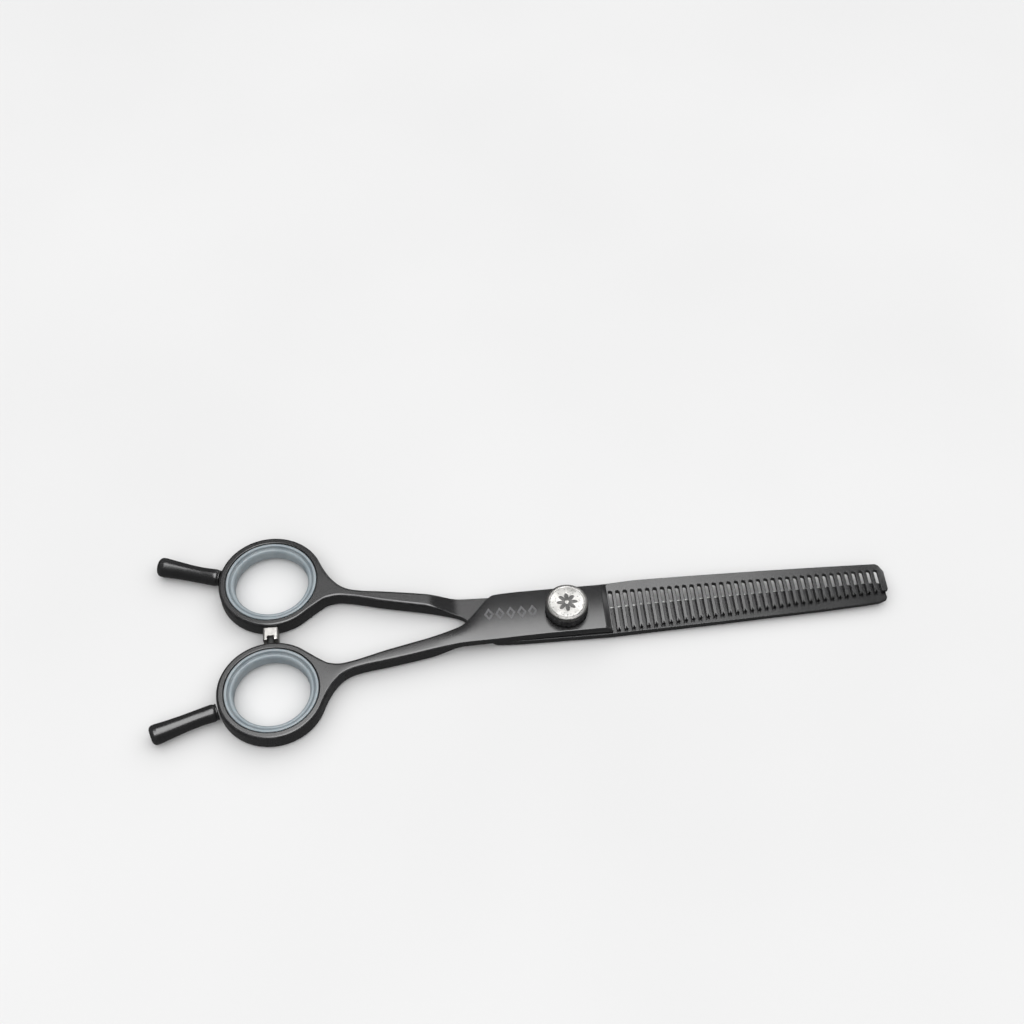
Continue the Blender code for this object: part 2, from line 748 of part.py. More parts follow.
def bumper_pad(parts, paint):
    """A rubber plug in the bumper's cup, which the other ring closes against."""
    back = BUMPER_END + PAD_SEAT
    profile = disc_profile(PAD_RADIUS, PAD_END, back, PAD_EDGE)
    made = turned("bumper_pad", profile, parts, paint, steps=20)
    made.location = (BUMPER_X, 0, MID_Z)
    made.rotation_euler = (-math.pi / 2, 0, 0)
    return made


def clear_scene():
    for old in list(bpy.data.objects):
        bpy.data.objects.remove(old, do_unlink=True)


def build():
    clear_scene()
    parts = bpy.data.collections.new("thinning_shears")
    cutters = bpy.data.collections.new("cutters")
    bpy.context.scene.collection.children.link(parts)
    bpy.context.scene.collection.children.link(cutters)
    cutters.hide_render = True

    black_coat = material("black_coat", (0.018, 0.018, 0.019), 0.38, 0.6)
    black_dial = material("black_dial", (0.010, 0.010, 0.011), 0.45, 0.3)
    silver_cap = material("silver_cap", (0.78, 0.77, 0.74), 0.22, 1.0)
    polished = material("polished_steel", (0.72, 0.72, 0.70), 0.18, 1.0)
    screw_steel = material("screw_steel", (0.45, 0.45, 0.46), 0.35, 1.0)
    spring_steel = material("spring_steel", (0.30, 0.31, 0.33), 0.30, 1.0)
    bronze = material("bush_bronze", (0.55, 0.36, 0.16), 0.35, 1.0)
    nylon = material("white_nylon", (0.80, 0.80, 0.76), 0.45)
    silicone = material("blue_silicone", (0.36, 0.42, 0.46), 0.35)
    rubber = material("black_rubber", (0.02, 0.02, 0.02), 0.7)

    cutting_blade_half(parts, cutters, black_coat)
    comb_blade_half(parts, cutters, black_coat)
    finger_insert("upper_finger_insert", 1, parts, silicone)
    finger_insert("lower_finger_insert", -1, parts, silicone)
    finger_rest("upper_finger_rest", 1, parts, cutters, black_coat)
    finger_rest("lower_finger_rest", -1, parts, cutters, black_coat)
    bumper_stud(parts, cutters, polished)
    bumper_pad(parts, rubber)
    pivot_nut(parts, screw_steel)
    washer("ride_washer", RIDE_WASHER, parts, nylon)
    washer("pivot_bush", BUSH, parts, bronze, steps=24)
    washer("friction_washer", FRICTION_WASHER, parts, nylon)
    leaf_spring(parts, cutters, spring_steel)
    tension_dial(parts, cutters, black_dial)
    pivot_screw(parts, screw_steel)
    dial_cap(parts, silver_cap)


build()
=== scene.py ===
"""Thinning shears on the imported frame: fine pieces, materials, light and camera."""
import math

import bmesh
import bpy
import numpy as np
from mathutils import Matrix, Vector
from mathutils.geometry import delaunay_2d_cdt


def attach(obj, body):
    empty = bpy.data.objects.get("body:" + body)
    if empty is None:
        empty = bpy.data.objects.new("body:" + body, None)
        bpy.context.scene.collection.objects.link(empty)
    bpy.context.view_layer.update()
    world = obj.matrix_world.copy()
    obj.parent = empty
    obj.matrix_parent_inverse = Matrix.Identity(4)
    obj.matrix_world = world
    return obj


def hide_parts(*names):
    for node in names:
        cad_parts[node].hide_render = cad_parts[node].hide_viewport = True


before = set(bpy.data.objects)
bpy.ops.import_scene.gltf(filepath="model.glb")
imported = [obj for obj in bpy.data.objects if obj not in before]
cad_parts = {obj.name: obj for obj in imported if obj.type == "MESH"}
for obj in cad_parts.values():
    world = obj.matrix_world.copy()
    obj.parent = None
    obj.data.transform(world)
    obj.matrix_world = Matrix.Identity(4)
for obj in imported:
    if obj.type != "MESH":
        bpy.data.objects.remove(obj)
for startup in ("Cube", "Light", "Camera"):
    if startup in bpy.data.objects:
        bpy.data.objects.remove(bpy.data.objects[startup], do_unlink=True)
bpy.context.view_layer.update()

MM = 0.001

# ---------------------------------------------------------------- sizes, in millimetres
# A half's own frame has z = 0 midway between the halves, and its outer face up. MID_Z is where
# that plane stands. FIT is the height of a half's inner face, so the gap between them is twice it.
MID_Z = 2.4
FIT = 0.125
RING_X, RING_Y = -68.4, 14.6
RING_RADIUS, RING_BORE, RING_HALF = 12.35, 10.78, 2.2
SHANK_HALF, SHANK_CROWN = 1.95, 0.05
BODY_EDGE_Z, BODY_CROWN = 1.905, 0.22
# stretches along x: ring to shank, shank to body, and the step from the body to the plate
RING_TO_SHANK = (-61.0, -50.0)
SHOULDER = (-32.5, -24.6)
BODY_FRONT, PLATE_BACK, STEP_SOFT = 8.7, 9.9, 0.14

# the blades: pairs are a height or a width at the plate's back and at its tip
COMB_TIP = 76.2
SLOT_COUNT = 37
SLOT_FIRST, SLOT_LAST = 10.75, 74.3
SLOT_PITCH = (SLOT_LAST - SLOT_FIRST) / (SLOT_COUNT - 1)
SLOT_HALF = 0.46
SLOT_ROOT = 4.5
TOOTH_HEEL = -6.0
TOOTH_RISE = 4.8 / 66.3
NOTCH_HALF, NOTCH_DEPTH = 0.21, 0.75
TOOTH_CORNER, NOTCH_CORNER, NOTCH_FLOOR = 0.09, 0.07, 0.06
COMB_SPINE_TOP, COMB_TEETH_TOP = (1.62, 1.35), (0.95, 0.9)
CUTTING_TIP = 75.8
CUTTING_FACE, CUTTING_BEVEL = (1.85, 1.2), (2.9, 2.2)
EDGE_LAND = 0.08
BARE_EDGE = 0.3

# the rounding of the edges
HANDLE_ROUND, HANDLE_ROUND_AT = (0.62, 0.7), (-61.0, -52.0)
BODY_ROUND, PLATE_ROUND, PLATE_ROUND_AT = 0.34, 0.12, (8.4, 9.6)
INNER_ROUND = 0.09
BORE_ROUND = 0.22
TOOTH_ROUND, TEETH_FROM, TOOTH_ENDS = 0.035, (9.4, 10.2), (0.4, 1.3)
EDGE_ROUND = 0.02

# the pivot hole's steps: radius and height
COMB_POCKET, COMB_POCKET_Z = 3.8, 1.7
BUSH_HOLE = 2.45
RIDE_POCKET, RIDE_POCKET_Z = 5.2, 0.65
NUT_POCKET, NUT_POCKET_Z = 4.2, 1.75
NUT_HOLE = 3.0
OUTER_MOUTH, INNER_MOUTH = 0.12, 0.05

# the sides, (x, y) in a half's own frame
OUTER_SIDE = (
    (-61.0, -21.8), (-59.0, -21.4), (-58.0, -20.3), (-57.0, -18.6), (-55.0, -15.2), (-53.8, -13.6),
    (-52.0, -11.9), (-50.0, -10.9), (-47.0, -10.2), (-43.5, -9.7), (-36.0, -8.5), (-30.0, -7.4),
    (-24.0, -6.55), (-16.0, -6.3), (-4.6, -5.95), (8.7, -5.8),
)
INNER_SIDE = (
    (-61.0, -5.2), (-59.5, -6.0), (-57.2, -7.6), (-55.3, -8.65), (-53.0, -9.0), (-50.3, -8.6),
    (-47.0, -7.8), (-43.5, -6.8), (-38.0, -5.5), (-32.0, -4.1), (-27.0, -2.7), (-24.6, -1.75),
    (-22.5, 0.1), (-20.0, 2.9), (-18.2, 4.85), (-16.7, 5.8), (-15.0, 6.0), (-10.3, 6.18),
    (8.7, 6.3),
)
COMB_SPINE = ((9.9, 6.45), (18.0, 6.9), (75.1, 6.0), (76.2, 5.2))
CUTTING_EDGE = ((9.9, -1.0), (21.0, -1.4), (74.0, -1.9), (75.8, -1.1))
CUTTING_SPINE = ((9.9, 6.25), (45.0, 5.0), (74.0, 3.6), (75.8, 2.9))

# a finger rest: (x, y, radius) along it, and (distance, radius) at its neck and collar
REST_PATH = (
    (-80.53, 17.89, 1.95), (-81.6, 18.19, 2.0), (-85.2, 19.25, 1.92), (-87.6, 20.08, 1.95),
    (-89.8, 20.86, 2.05), (-92.2, 21.7, 2.2), (-93.8, 22.24, 2.34), (-94.5, 22.48, 2.24),
    (-95.0, 22.65, 1.9), (-95.25, 22.73, 1.35),
)
REST_COLLAR = (
    (0.0, 0.0), (0.0, 1.2), (0.0, 1.7), (0.05, 1.8), (0.2, 1.86), (0.38, 1.85), (0.45, 1.78),
    (0.5, 1.76), (0.56, 1.8), (0.68, 1.9), (0.9, 1.95),
)
REST_END_RADIUS, REST_END_ROUND = 2.3, 1.15

BUMPER_X = -68.6
PAD_RADIUS, PAD_BACK, PAD_END, PAD_ROUND = 0.94, -0.05, -2.02, 0.3

# the dial and its cap, with heights above the bench
DIAL_BOTTOM, DIAL_TOP, DIAL_RADIUS, DIAL_ROUND = 4.75, 6.5, 4.95, 0.16
DIAL_FLUTES, FLUTE_DEPTH, FLUTED_FROM = 24, 0.16, 4.5
DIAL_MOUTH, SCREW_SEAT, SCREW_HOLE = (4.4, 3.3), (5.75, 5.35), 1.75
DIAL_RECESS = 4.0

CAP_BOTTOM, CAP_UNDER, CAP_FIELD, CAP_CREST = 6.65, 6.4, 7.8, 7.9
CAP_RADIUS, CAP_SPIGOT = 4.88, 3.1
CREST_FROM, CREST_IN, CREST_OUT = 4.13, 4.22, 4.32
PETAL_ROOT, PETAL_REACH, EYE_RADIUS = 1.15, 1.25, 0.55
PETAL_DEPTH, VEIN_DEPTH, GROOVE_DEPTH = 0.05, 0.03, 0.03
GROOVE_RADIUS = 3.95
RIM_DULL = 0.4

# the etched lozenges: centres, and half length and half width outside and inside
ETCH_AT = [(-18.1 + 2.55 * i, 0.35) for i in range(5)]
ETCH_OUTER, ETCH_INNER = (1.12, 1.75), (0.55, 0.86)
ZONE_COAT, ZONE_ETCHED, ZONE_BARE = 0, 1, 2


# ---------------------------------------------------------------- small maths
def curve_value(points, x):
    """A smooth curve through points, flat where they turn back, at one x or many."""
    xs, ys = np.array(points, float).T
    widths = np.diff(xs)
    slopes = np.diff(ys) / widths
    before, after = slopes[:-1], slopes[1:]
    total = np.where(before + after == 0, 1.0, before + after)
    inner = np.where(before * after > 0, 2 * before * after / total, 0.0)
    tangents = np.concatenate([slopes[:1], inner, slopes[-1:]])
    x = np.clip(x, xs[0], xs[-1])
    i = np.clip(np.searchsorted(xs, x, side="right") - 1, 0, len(xs) - 2)
    t = (x - xs[i]) / widths[i]
    value = (2 * t**3 - 3 * t**2 + 1) * ys[i] + (3 * t**2 - 2 * t**3) * ys[i + 1]
    bend = (t**3 - 2 * t**2 + t) * tangents[i] + (t**3 - t**2) * tangents[i + 1]
    return value + widths[i] * bend


def ease(start, end, x):
    t = np.clip((x - start) / (end - start), 0.0, 1.0)
    return t * t * (3 - 2 * t)


def mix(a, b, t):
    return a + (b - a) * t


def ramp(x, start, end, soft):
    """0 before start, 1 after end, straight between, with both corners rounded over soft."""

    def hinge(u):
        curved = (u + soft) ** 2 / (4 * soft)
        return np.where(u < -soft, 0.0, np.where(u > soft, u, curved))

    return (hinge(x - start) - hinge(x - end)) / (end - start)


def resample(points, spacing):
    """An open polyline's points at an even spacing."""
    points = np.asarray(points, float)
    lengths = np.concatenate([[0], np.cumsum(np.linalg.norm(np.diff(points, axis=0), axis=1))])
    count = max(2, int(round(lengths[-1] / spacing)) + 1)
    at = np.linspace(0, lengths[-1], count)
    return np.column_stack([np.interp(at, lengths, points[:, k]) for k in range(points.shape[1])])


def round_corners(points, radii, steps=6):
    """An open polyline with an arc in place of each inner corner that has a radius."""
    out = [np.array(points[0], float)]
    for before, here, after, radius in zip(points, points[1:], points[2:], radii[1:-1]):
        here = np.array(here, float)
        a = np.array(before, float) - here
        b = np.array(after, float) - here
        la, lb = np.linalg.norm(a), np.linalg.norm(b)
        a, b = a / la, b / lb
        angle = math.acos(max(-1.0, min(1.0, float(a @ b))))
        if radius <= 0 or angle > math.pi - 0.02:
            out.append(here)
            continue
        reach = min(radius / math.tan(angle / 2), 0.49 * la, 0.49 * lb)
        radius = reach * math.tan(angle / 2)
        centre = here + (a + b) / np.linalg.norm(a + b) * radius / math.sin(angle / 2)
        start, end = here + a * reach - centre, here + b * reach - centre
        first = math.atan2(start[1], start[0])
        sweep = (math.atan2(end[1], end[0]) - first + math.pi) % math.tau - math.pi
        for k in range(steps + 1):
            turn = first + sweep * k / steps
            out.append(centre + radius * np.array([math.cos(turn), math.sin(turn)]))
    out.append(np.array(points[-1], float))
    return np.array(out)


def circle(x, y, radius, steps, clockwise=False):
    turns = np.arange(steps) * math.tau / steps
    if clockwise:
        turns = -turns
    return np.column_stack([x + radius * np.cos(turns), y + radius * np.sin(turns)])


# ------------------------------------------------------- heights of a half, in its own frame
def shank_top(x, y):
    near_ring = 1 - ease(*RING_TO_SHANK, x)
    into_body = ease(*SHOULDER, x)
    edge = mix(mix(SHANK_HALF, RING_HALF, near_ring), BODY_EDGE_Z, into_body)
    low, high = curve_value(OUTER_SIDE, x), curve_value(INNER_SIDE, x)
    across = np.clip((high - y) / (high - low), 0, 1)
    crown = mix(SHANK_CROWN * ease(*RING_TO_SHANK, x), BODY_CROWN, into_body)
    return edge + crown * (1 - (2 * across - 1) ** 2)


def tooth_line(x):
    """Where the teeth end."""
    return TOOTH_HEEL + (x - PLATE_BACK) * TOOTH_RISE


def comb_plate_top(x, y):
    along = (x - PLATE_BACK) / (COMB_TIP - PLATE_BACK)
    low, high = tooth_line(x), curve_value(COMB_SPINE, x)
    across = np.clip((high - y) / (high - low), 0, 1)
    return mix(mix(*COMB_SPINE_TOP, along), mix(*COMB_TEETH_TOP, along), across)


def cutting_along(x):
    return (x - PLATE_BACK) / (CUTTING_TIP - PLATE_BACK)


def cutting_plate_top(x, y):
    along = cutting_along(x)
    low = curve_value(CUTTING_EDGE, x)
    across = np.clip((y - low) / mix(*CUTTING_BEVEL, along), 0, 1)
    return mix(FIT + EDGE_LAND, mix(*CUTTING_FACE, along), across)


def half_top(plate_top):
    def top(x, y):
        into_plate = ramp(x, BODY_FRONT, PLATE_BACK, STEP_SOFT)
        x_plate = np.maximum(x, PLATE_BACK)
        return mix(shank_top(np.minimum(x, BODY_FRONT), y), plate_top(x_plate, y), into_plate)

    return top


def half_bottom(x, y):
    near_ring = 1 - ease(*RING_TO_SHANK, x)
    into_body = ease(*SHOULDER, x)
    return mix(-mix(SHANK_HALF, RING_HALF, near_ring), FIT, into_body)


def outer_round(x):
    """The radius of a half's edges on its outer face."""
    handle = mix(*HANDLE_ROUND, ease(*HANDLE_ROUND_AT, x))
    body = mix(handle, BODY_ROUND, ease(*SHOULDER, x))
    return mix(body, PLATE_ROUND, ease(*PLATE_ROUND_AT, x))


def inner_round(x):
    handle = mix(*HANDLE_ROUND, ease(*HANDLE_ROUND_AT, x))
    return mix(handle, INNER_ROUND, ease(*SHOULDER, x))


# ---------------------------------------------------------------- outlines of a half
def handle_outline():
    """From the body's front back along the inner side, round the ring, and to the front."""
    xs = np.linspace(RING_TO_SHANK[0], BODY_FRONT, 900)
    outer = np.column_stack([xs, curve_value(OUTER_SIDE, xs)])
    inner = np.column_stack([xs, curve_value(INNER_SIDE, xs)])
    centre = np.array([RING_X, -RING_Y])

    def outside(points):
        return points[np.linalg.norm(points - centre, axis=1) > RING_RADIUS]

    outer, inner = outside(outer), outside(inner)[::-1]
    first = math.atan2(*(inner[-1] - centre)[::-1])
    last = math.atan2(*(outer[0] - centre)[::-1]) + math.tau
    turns = np.linspace(first, last, 420)[1:-1]
    ring = centre + RING_RADIUS * np.column_stack([np.cos(turns), np.sin(turns)])
    points = resample(np.concatenate([inner, ring, outer]), 0.3)
    joints = (inner[-1], outer[0])
    near = np.min([np.linalg.norm(points - j, axis=1) for j in joints], axis=0)
    weight = np.clip(1.6 - near / 2.0, 0, 1)[1:-1, None] * 0.5
    for _ in range(60):
        middle = (points[:-2] + points[2:]) / 2
        points[1:-1] += (middle - points[1:-1]) * weight
    return points


class Outline:
    """Points of an open outline, each with the radius its corner is rounded to."""

    def __init__(self, x, y):
        self.points, self.radii = [], []
        self.add(x, y)

    def add(self, x, y, radius=0.0):
        self.points.append((x, y))
        self.radii.append(radius)

    def follow(self, curve, start, end, count=64):
        for x in np.linspace(start, end, count):
            self.add(x, float(curve_value(curve, x)))

    def rounded(self):
        return round_corners(self.points, self.radii)


def comb_outline():
    """The toothed side from the body's front to the tip, then back along the spine."""
    line = Outline(BODY_FRONT + 0.3, -5.86)
    shoulder = SLOT_ROOT - SLOT_HALF
    for i in range(SLOT_COUNT):
        x = SLOT_FIRST + i * SLOT_PITCH
        left, right = x - SLOT_HALF, x + SLOT_HALF
        if i:
            middle = x - SLOT_PITCH / 2
            line.add(middle + NOTCH_HALF, tooth_line(middle), NOTCH_CORNER)
        line.add(left, tooth_line(left), TOOTH_CORNER)
        for y in np.linspace(tooth_line(left), shoulder, 8)[1:-1]:
            line.add(left, y)
        for k in range(13):
            turn = math.pi - math.pi * k / 12
            line.add(x + SLOT_HALF * math.cos(turn), shoulder + SLOT_HALF * math.sin(turn))
        for y in np.linspace(shoulder, tooth_line(right), 8)[1:-1]:
            line.add(right, y)
        line.add(right, tooth_line(right), TOOTH_CORNER)
        if i < SLOT_COUNT - 1:
            middle = x + SLOT_PITCH / 2
            line.add(middle - NOTCH_HALF, tooth_line(middle), NOTCH_CORNER)
            line.add(middle, tooth_line(middle) + NOTCH_DEPTH, NOTCH_FLOOR)
    line.add(COMB_TIP, tooth_line(COMB_TIP), 0.5)
    line.add(COMB_TIP, 3.8, 1.2)
    line.add(*COMB_SPINE[2], 1.4)
    line.follow(COMB_SPINE, 73.0, 10.4)
    line.add(BODY_FRONT + 0.35, 6.35)
    return line.rounded()


def cutting_outline():
    """The edge from the body's front to the tip, then back along the spine."""
    line = Outline(BODY_FRONT + 0.1, -5.5)
    line.add(9.2, -3.6)
    line.add(*CUTTING_EDGE[0], 0.8)
    line.follow(CUTTING_EDGE, 11.5, 73.8)
    line.add(*CUTTING_EDGE[-1], 0.35)
    line.add(*CUTTING_SPINE[-1], 0.6)
    line.follow(CUTTING_SPINE, 73.8, 10.6)
    line.add(BODY_FRONT + 0.3, 6.28)
    return line.rounded()


def tidy_loop(points, least=0.02):
    """A closed outline without points that fall on each other."""
    keep = [points[0]]
    for point in points[1:]:
        if np.linalg.norm(point - keep[-1]) > least:
            keep.append(point)
    if np.linalg.norm(keep[0] - keep[-1]) <= least:
        keep.pop()
    return np.array(keep)


# ---------------------------------------------------------------- mesh building
def in_scene(name, data):
    """A new object in the scene."""
    made = bpy.data.objects.new(name, data)
    bpy.context.scene.collection.objects.link(made)
    return made


def point_values(mesh, name, values):
    attribute = mesh.attributes.new(name, "FLOAT", "POINT")
    attribute.data.foreach_set("value", np.array(values, dtype=np.float32))


def new_object(name, verts, faces, normals=None, edge=None, zones=None):
    """A mesh object from millimetre vertices, with its own normals and an edge-wear value."""
    mesh = bpy.data.meshes.new(name)
    mesh.from_pydata((np.asarray(verts) * MM).tolist(), [], faces)
    if edge is not None:
        point_values(mesh, "edge_wear", edge)
    if zones is not None:
        mesh.polygons.foreach_set("material_index", np.asarray(zones, dtype=np.int32))
    mesh.shade_smooth()
    if normals is not None:
        mesh.normals_split_custom_set_from_vertices(np.asarray(normals).tolist())
    return in_scene(name, mesh)


def welded(name, verts, faces, edge, sharp):
    """A closed piece from millimetre vertices, doubled ones merged, sharp over an angle."""
    mesh = bpy.data.meshes.new(name)
    mesh.from_pydata((np.array(verts) * MM).tolist(), [], faces)
    point_values(mesh, "edge_wear", edge)
    bm = bmesh.new()
    bm.from_mesh(mesh)
    bmesh.ops.remove_doubles(bm, verts=bm.verts, dist=1e-7)
    empty = [f for f in bm.faces if f.calc_area() < 1e-16]
    bmesh.ops.delete(bm, geom=empty, context="FACES_ONLY")
    bmesh.ops.recalc_face_normals(bm, faces=bm.faces)
    bm.to_mesh(mesh)
    bm.free()
    mesh.shade_smooth()
    mesh.set_sharp_from_angle(angle=math.radians(sharp))
    return in_scene(name, mesh)


def surface_normal(height, x, y, up):
    step = 0.02
    slope_x = (height(x + step, y) - height(x - step, y)) / (2 * step)
    slope_y = (height(x, y + step) - height(x, y - step)) / (2 * step)
    normals = np.column_stack([-slope_x, -slope_y, np.ones_like(x)])
    normals /= np.linalg.norm(normals, axis=1)[:, None]
    return normals * up


def inward_normals(loop):
    """Unit directions into the material for a counter-clockwise outline or a clockwise hole."""
    ahead = np.roll(loop, -1, axis=0) - loop
    behind = loop - np.roll(loop, 1, axis=0)
    ahead /= np.linalg.norm(ahead, axis=1)[:, None]
    behind /= np.linalg.norm(behind, axis=1)[:, None]
    along = ahead + behind
    along /= np.linalg.norm(along, axis=1)[:, None]
    return np.column_stack([-along[:, 1], along[:, 0]])


class Builder:
    """Gathers vertices with normals, and faces with material zones."""

    def __init__(self):
        self.verts, self.normals, self.edge = [], [], []
        self.faces, self.zones = [], []
        self.count = 0

    def ring(self, points, normals, edge):
        start = self.count
        self.verts.append(points)
        self.normals.append(normals)
        self.edge.append(np.broadcast_to(edge, (len(points),)))
        self.count += len(points)
        return np.arange(start, self.count)

    def band(self, upper, lower):
        n = len(upper)
        for i in range(n):
            j = (i + 1) % n
            self.faces.append((upper[i], lower[i], lower[j], upper[j]))
            self.zones.append(ZONE_COAT)

    def object(self, name):
        return new_object(
            name,
            np.concatenate(self.verts),
            self.faces,
            np.concatenate(self.normals),
            np.concatenate(self.edge),
            self.zones,
        )


def rounded_wall(build, loop, top, bottom, top_radius, bottom_radius, steps=6):
    """A loop's wall with rounded edges. Returns the vertex rings where the two caps begin."""
    inward = inward_normals(loop)
    x, y = loop.T
    gap = top(x, y) - bottom(x, y)
    rings = []
    for height, radius, up in ((top, top_radius, 1.0), (bottom, bottom_radius, -1.0)):
        radius = np.minimum(radius, 0.44 * gap)
        rim = loop + inward * radius[:, None]
        level = height(rim[:, 0], rim[:, 1])
        cap_normal = surface_normal(height, rim[:, 0], rim[:, 1], up)
        side = np.column_stack([-inward, np.zeros(len(loop))])
        part = []
        for k in range(steps + 1):
            turn = math.pi / 2 * k / steps
            inset = radius * (1 - math.cos(turn))
            drop = radius * (1 - math.sin(turn))
            at = loop + inward * inset[:, None]
            normal = side * math.cos(turn) + cap_normal * math.sin(turn)
            normal /= np.linalg.norm(normal, axis=1)[:, None]
            points = np.column_stack([at, level - up * drop])
            part.append(build.ring(points, normal, math.sin(2 * turn)))
        rings.append(part)
    upper, lower = rings
    for k in range(steps):
        build.band(upper[k + 1], upper[k])
        build.band(lower[k], lower[k + 1])
    build.band(upper[0], lower[0])
    return upper[-1], lower[-1]


def inside(points, loop):
    """Which points lie inside a closed outline."""
    a, b = loop, np.roll(loop, -1, axis=0)
    out = np.zeros(len(points), dtype=bool)
    for start in range(0, len(points), 500):
        px, py = points[start : start + 500].T[:, :, None]
        spans = (a[:, 1] > py) != (b[:, 1] > py)
        rise = np.where(b[:, 1] == a[:, 1], 1e-12, b[:, 1] - a[:, 1])
        crossing = a[:, 0] + (py - a[:, 1]) * (b[:, 0] - a[:, 0]) / rise
        out[start : start + 500] = (spans & (px < crossing)).sum(axis=1) % 2 == 1
    return out


def cap(build, loops, points, height, up, creases=(), zone=None):
    """Fills between the outline's and the holes' vertex rings, with extra points and creases."""
    verts = np.concatenate(build.verts)
    ids = np.concatenate(loops)
    flat = [tuple(v) for v in verts[ids][:, :2]]
    edges = []
    start = 0
    for loop in loops:
        n = len(loop)
        edges += [(start + i, start + (i + 1) % n) for i in range(n)]
        start += n
    for line in creases:
        closed = len(line) > 2 and np.allclose(line[0], line[-1])
        body = line[:-1] if closed else line
        first = len(flat)
        flat += [tuple(p) for p in body]
        edges += [(first + i, first + i + 1) for i in range(len(body) - 1)]
        if closed:
            edges.append((first + len(body) - 1, first))
    flat += [tuple(p) for p in points]
    flat = [Vector(p) for p in flat]
    out, _, tris, origin, _, _ = delaunay_2d_cdt(flat, edges, [], 1, 1e-5, True)
    index = np.empty(len(out), dtype=int)
    fresh = []
    for k, came_from in enumerate(origin):
        boundary = [o for o in came_from if o < len(ids)]
        if boundary:
            index[k] = ids[boundary[0]]
        else:
            index[k] = build.count + len(fresh)
            fresh.append((out[k].x, out[k].y))
    if fresh:
        x, y = np.array(fresh).T
        spots = np.column_stack([x, y, height(x, y)])
        build.ring(spots, surface_normal(height, x, y, up), 0.0)
    where = np.array([tuple(v) for v in out])
    middles = where[np.array([list(tri) for tri in tris])].mean(axis=1)
    keep = inside(middles, verts[loops[0]][:, :2])
    for hole in loops[1:]:
        keep &= ~inside(middles, verts[hole][:, :2])
    for tri, middle, kept in zip(tris, middles, keep):
        if not kept:
            continue
        face = tuple(int(index[k]) for k in tri)
        if len(set(face)) < 3:
            continue
        a, b, c = (where[k] for k in tri)
        turns_left = (b[0] - a[0]) * (c[1] - a[1]) - (b[1] - a[1]) * (c[0] - a[0]) > 0
        if turns_left != (up > 0):
            face = face[::-1]
        build.faces.append(face)
        build.zones.append(zone(middle) if zone else ZONE_COAT)


def pocket_hole(build, centre, profile, steps=96):
    """A turned hole down its profile of (radius, z). Returns its first and last vertex rings."""
    rings = []
    for k, (radius, z) in enumerate(profile):
        loop = circle(*centre, radius, steps, clockwise=True)
        ahead = profile[min(k + 1, len(profile) - 1)]
        behind = profile[max(k - 1, 0)]
        dr, dz = ahead[0] - behind[0], ahead[1] - behind[1]
        size = math.hypot(dr, dz) or 1.0
        inward = (np.array(centre) - loop) / radius
        normal = np.column_stack([inward * (-dz / size), np.full(len(loop), dr / size)])
        rings.append(build.ring(np.column_stack([loop, np.full(len(loop), z)]), normal, 0.3))
    for upper, lower in zip(rings, rings[1:]):
        build.band(upper, lower)
    return rings[0], rings[-1]


def body_grid(spacing):
    """Points inside a half's body and shank, clear of its edges."""
    points = []
    for x in np.arange(-59.0, 8.3, spacing):
        low = float(curve_value(OUTER_SIDE, x)) + outer_round(x) + 0.35
        high = float(curve_value(INNER_SIDE, x)) - outer_round(x) - 0.35
        if high > low:
            for y in np.linspace(low, high, max(2, int((high - low) / spacing) + 1)):
                points.append((x, y))
    return points


def step_rows(low, high):
    """Closely spaced rows of points across the step from the body to the plate."""
    points = []
    for edge in (BODY_FRONT, PLATE_BACK):
        for dx in (-STEP_SOFT, -STEP_SOFT / 2, 0.0, STEP_SOFT / 2, STEP_SOFT):
            for y in np.arange(low, high, 0.25):
                points.append((edge + dx, y))
    for x in (9.1, 9.3, 9.5):
        for y in np.arange(low, high, 0.35):
            points.append((x, y))
    return points


def clear_of(points, holes, margin=0.4):
    return [
        p for p in points if all(math.hypot(p[0] - x, p[1] - y) > r + margin for x, y, r in holes)
    ]


def lozenge(x, y, half_length, half_width):
    return [
        (x - half_length, y), (x, y - half_width), (x + half_length, y), (x, y + half_width),
        (x - half_length, y),
    ]


def in_lozenge(point, x, y, half_length, half_width):
    return abs(point[0] - x) / half_length + abs(point[1] - y) / half_width < 1


def etched_zone(point):
    in_mark = any(
        in_lozenge(point, *at, *ETCH_OUTER) and not in_lozenge(point, *at, *ETCH_INNER)
        for at in ETCH_AT
    )
    return ZONE_ETCHED if in_mark else ZONE_COAT


def bare_zone(point):
    on_blade = point[0] > PLATE_BACK + 0.2
    on_edge = point[1] < curve_value(CUTTING_EDGE, point[0]) + BARE_EDGE
    return ZONE_BARE if on_blade and on_edge else ZONE_COAT


def edge_line(start, end, count, reach):
    """A line along the cutting edge, as far inside it as reach says."""
    return [
        (x, float(curve_value(CUTTING_EDGE, x)) + reach(x)) for x in np.linspace(start, end, count)
    ]


def edge_radii(loop, toothed):
    """The rounding of a half's outline at its outer and at its inner face."""
    x, y = loop.T
    radii = outer_round(x), inner_round(x)
    if toothed:
        at_ends = ease(*TEETH_FROM, x) * (1 - ease(*TOOTH_ENDS, y - tooth_line(x)))
        return [mix(radius, TOOTH_ROUND, at_ends) for radius in radii]
    on_edge = (x > PLATE_BACK + 0.3) & (y < 0.5)
    return [np.where(on_edge, EDGE_ROUND, radius) for radius in radii]


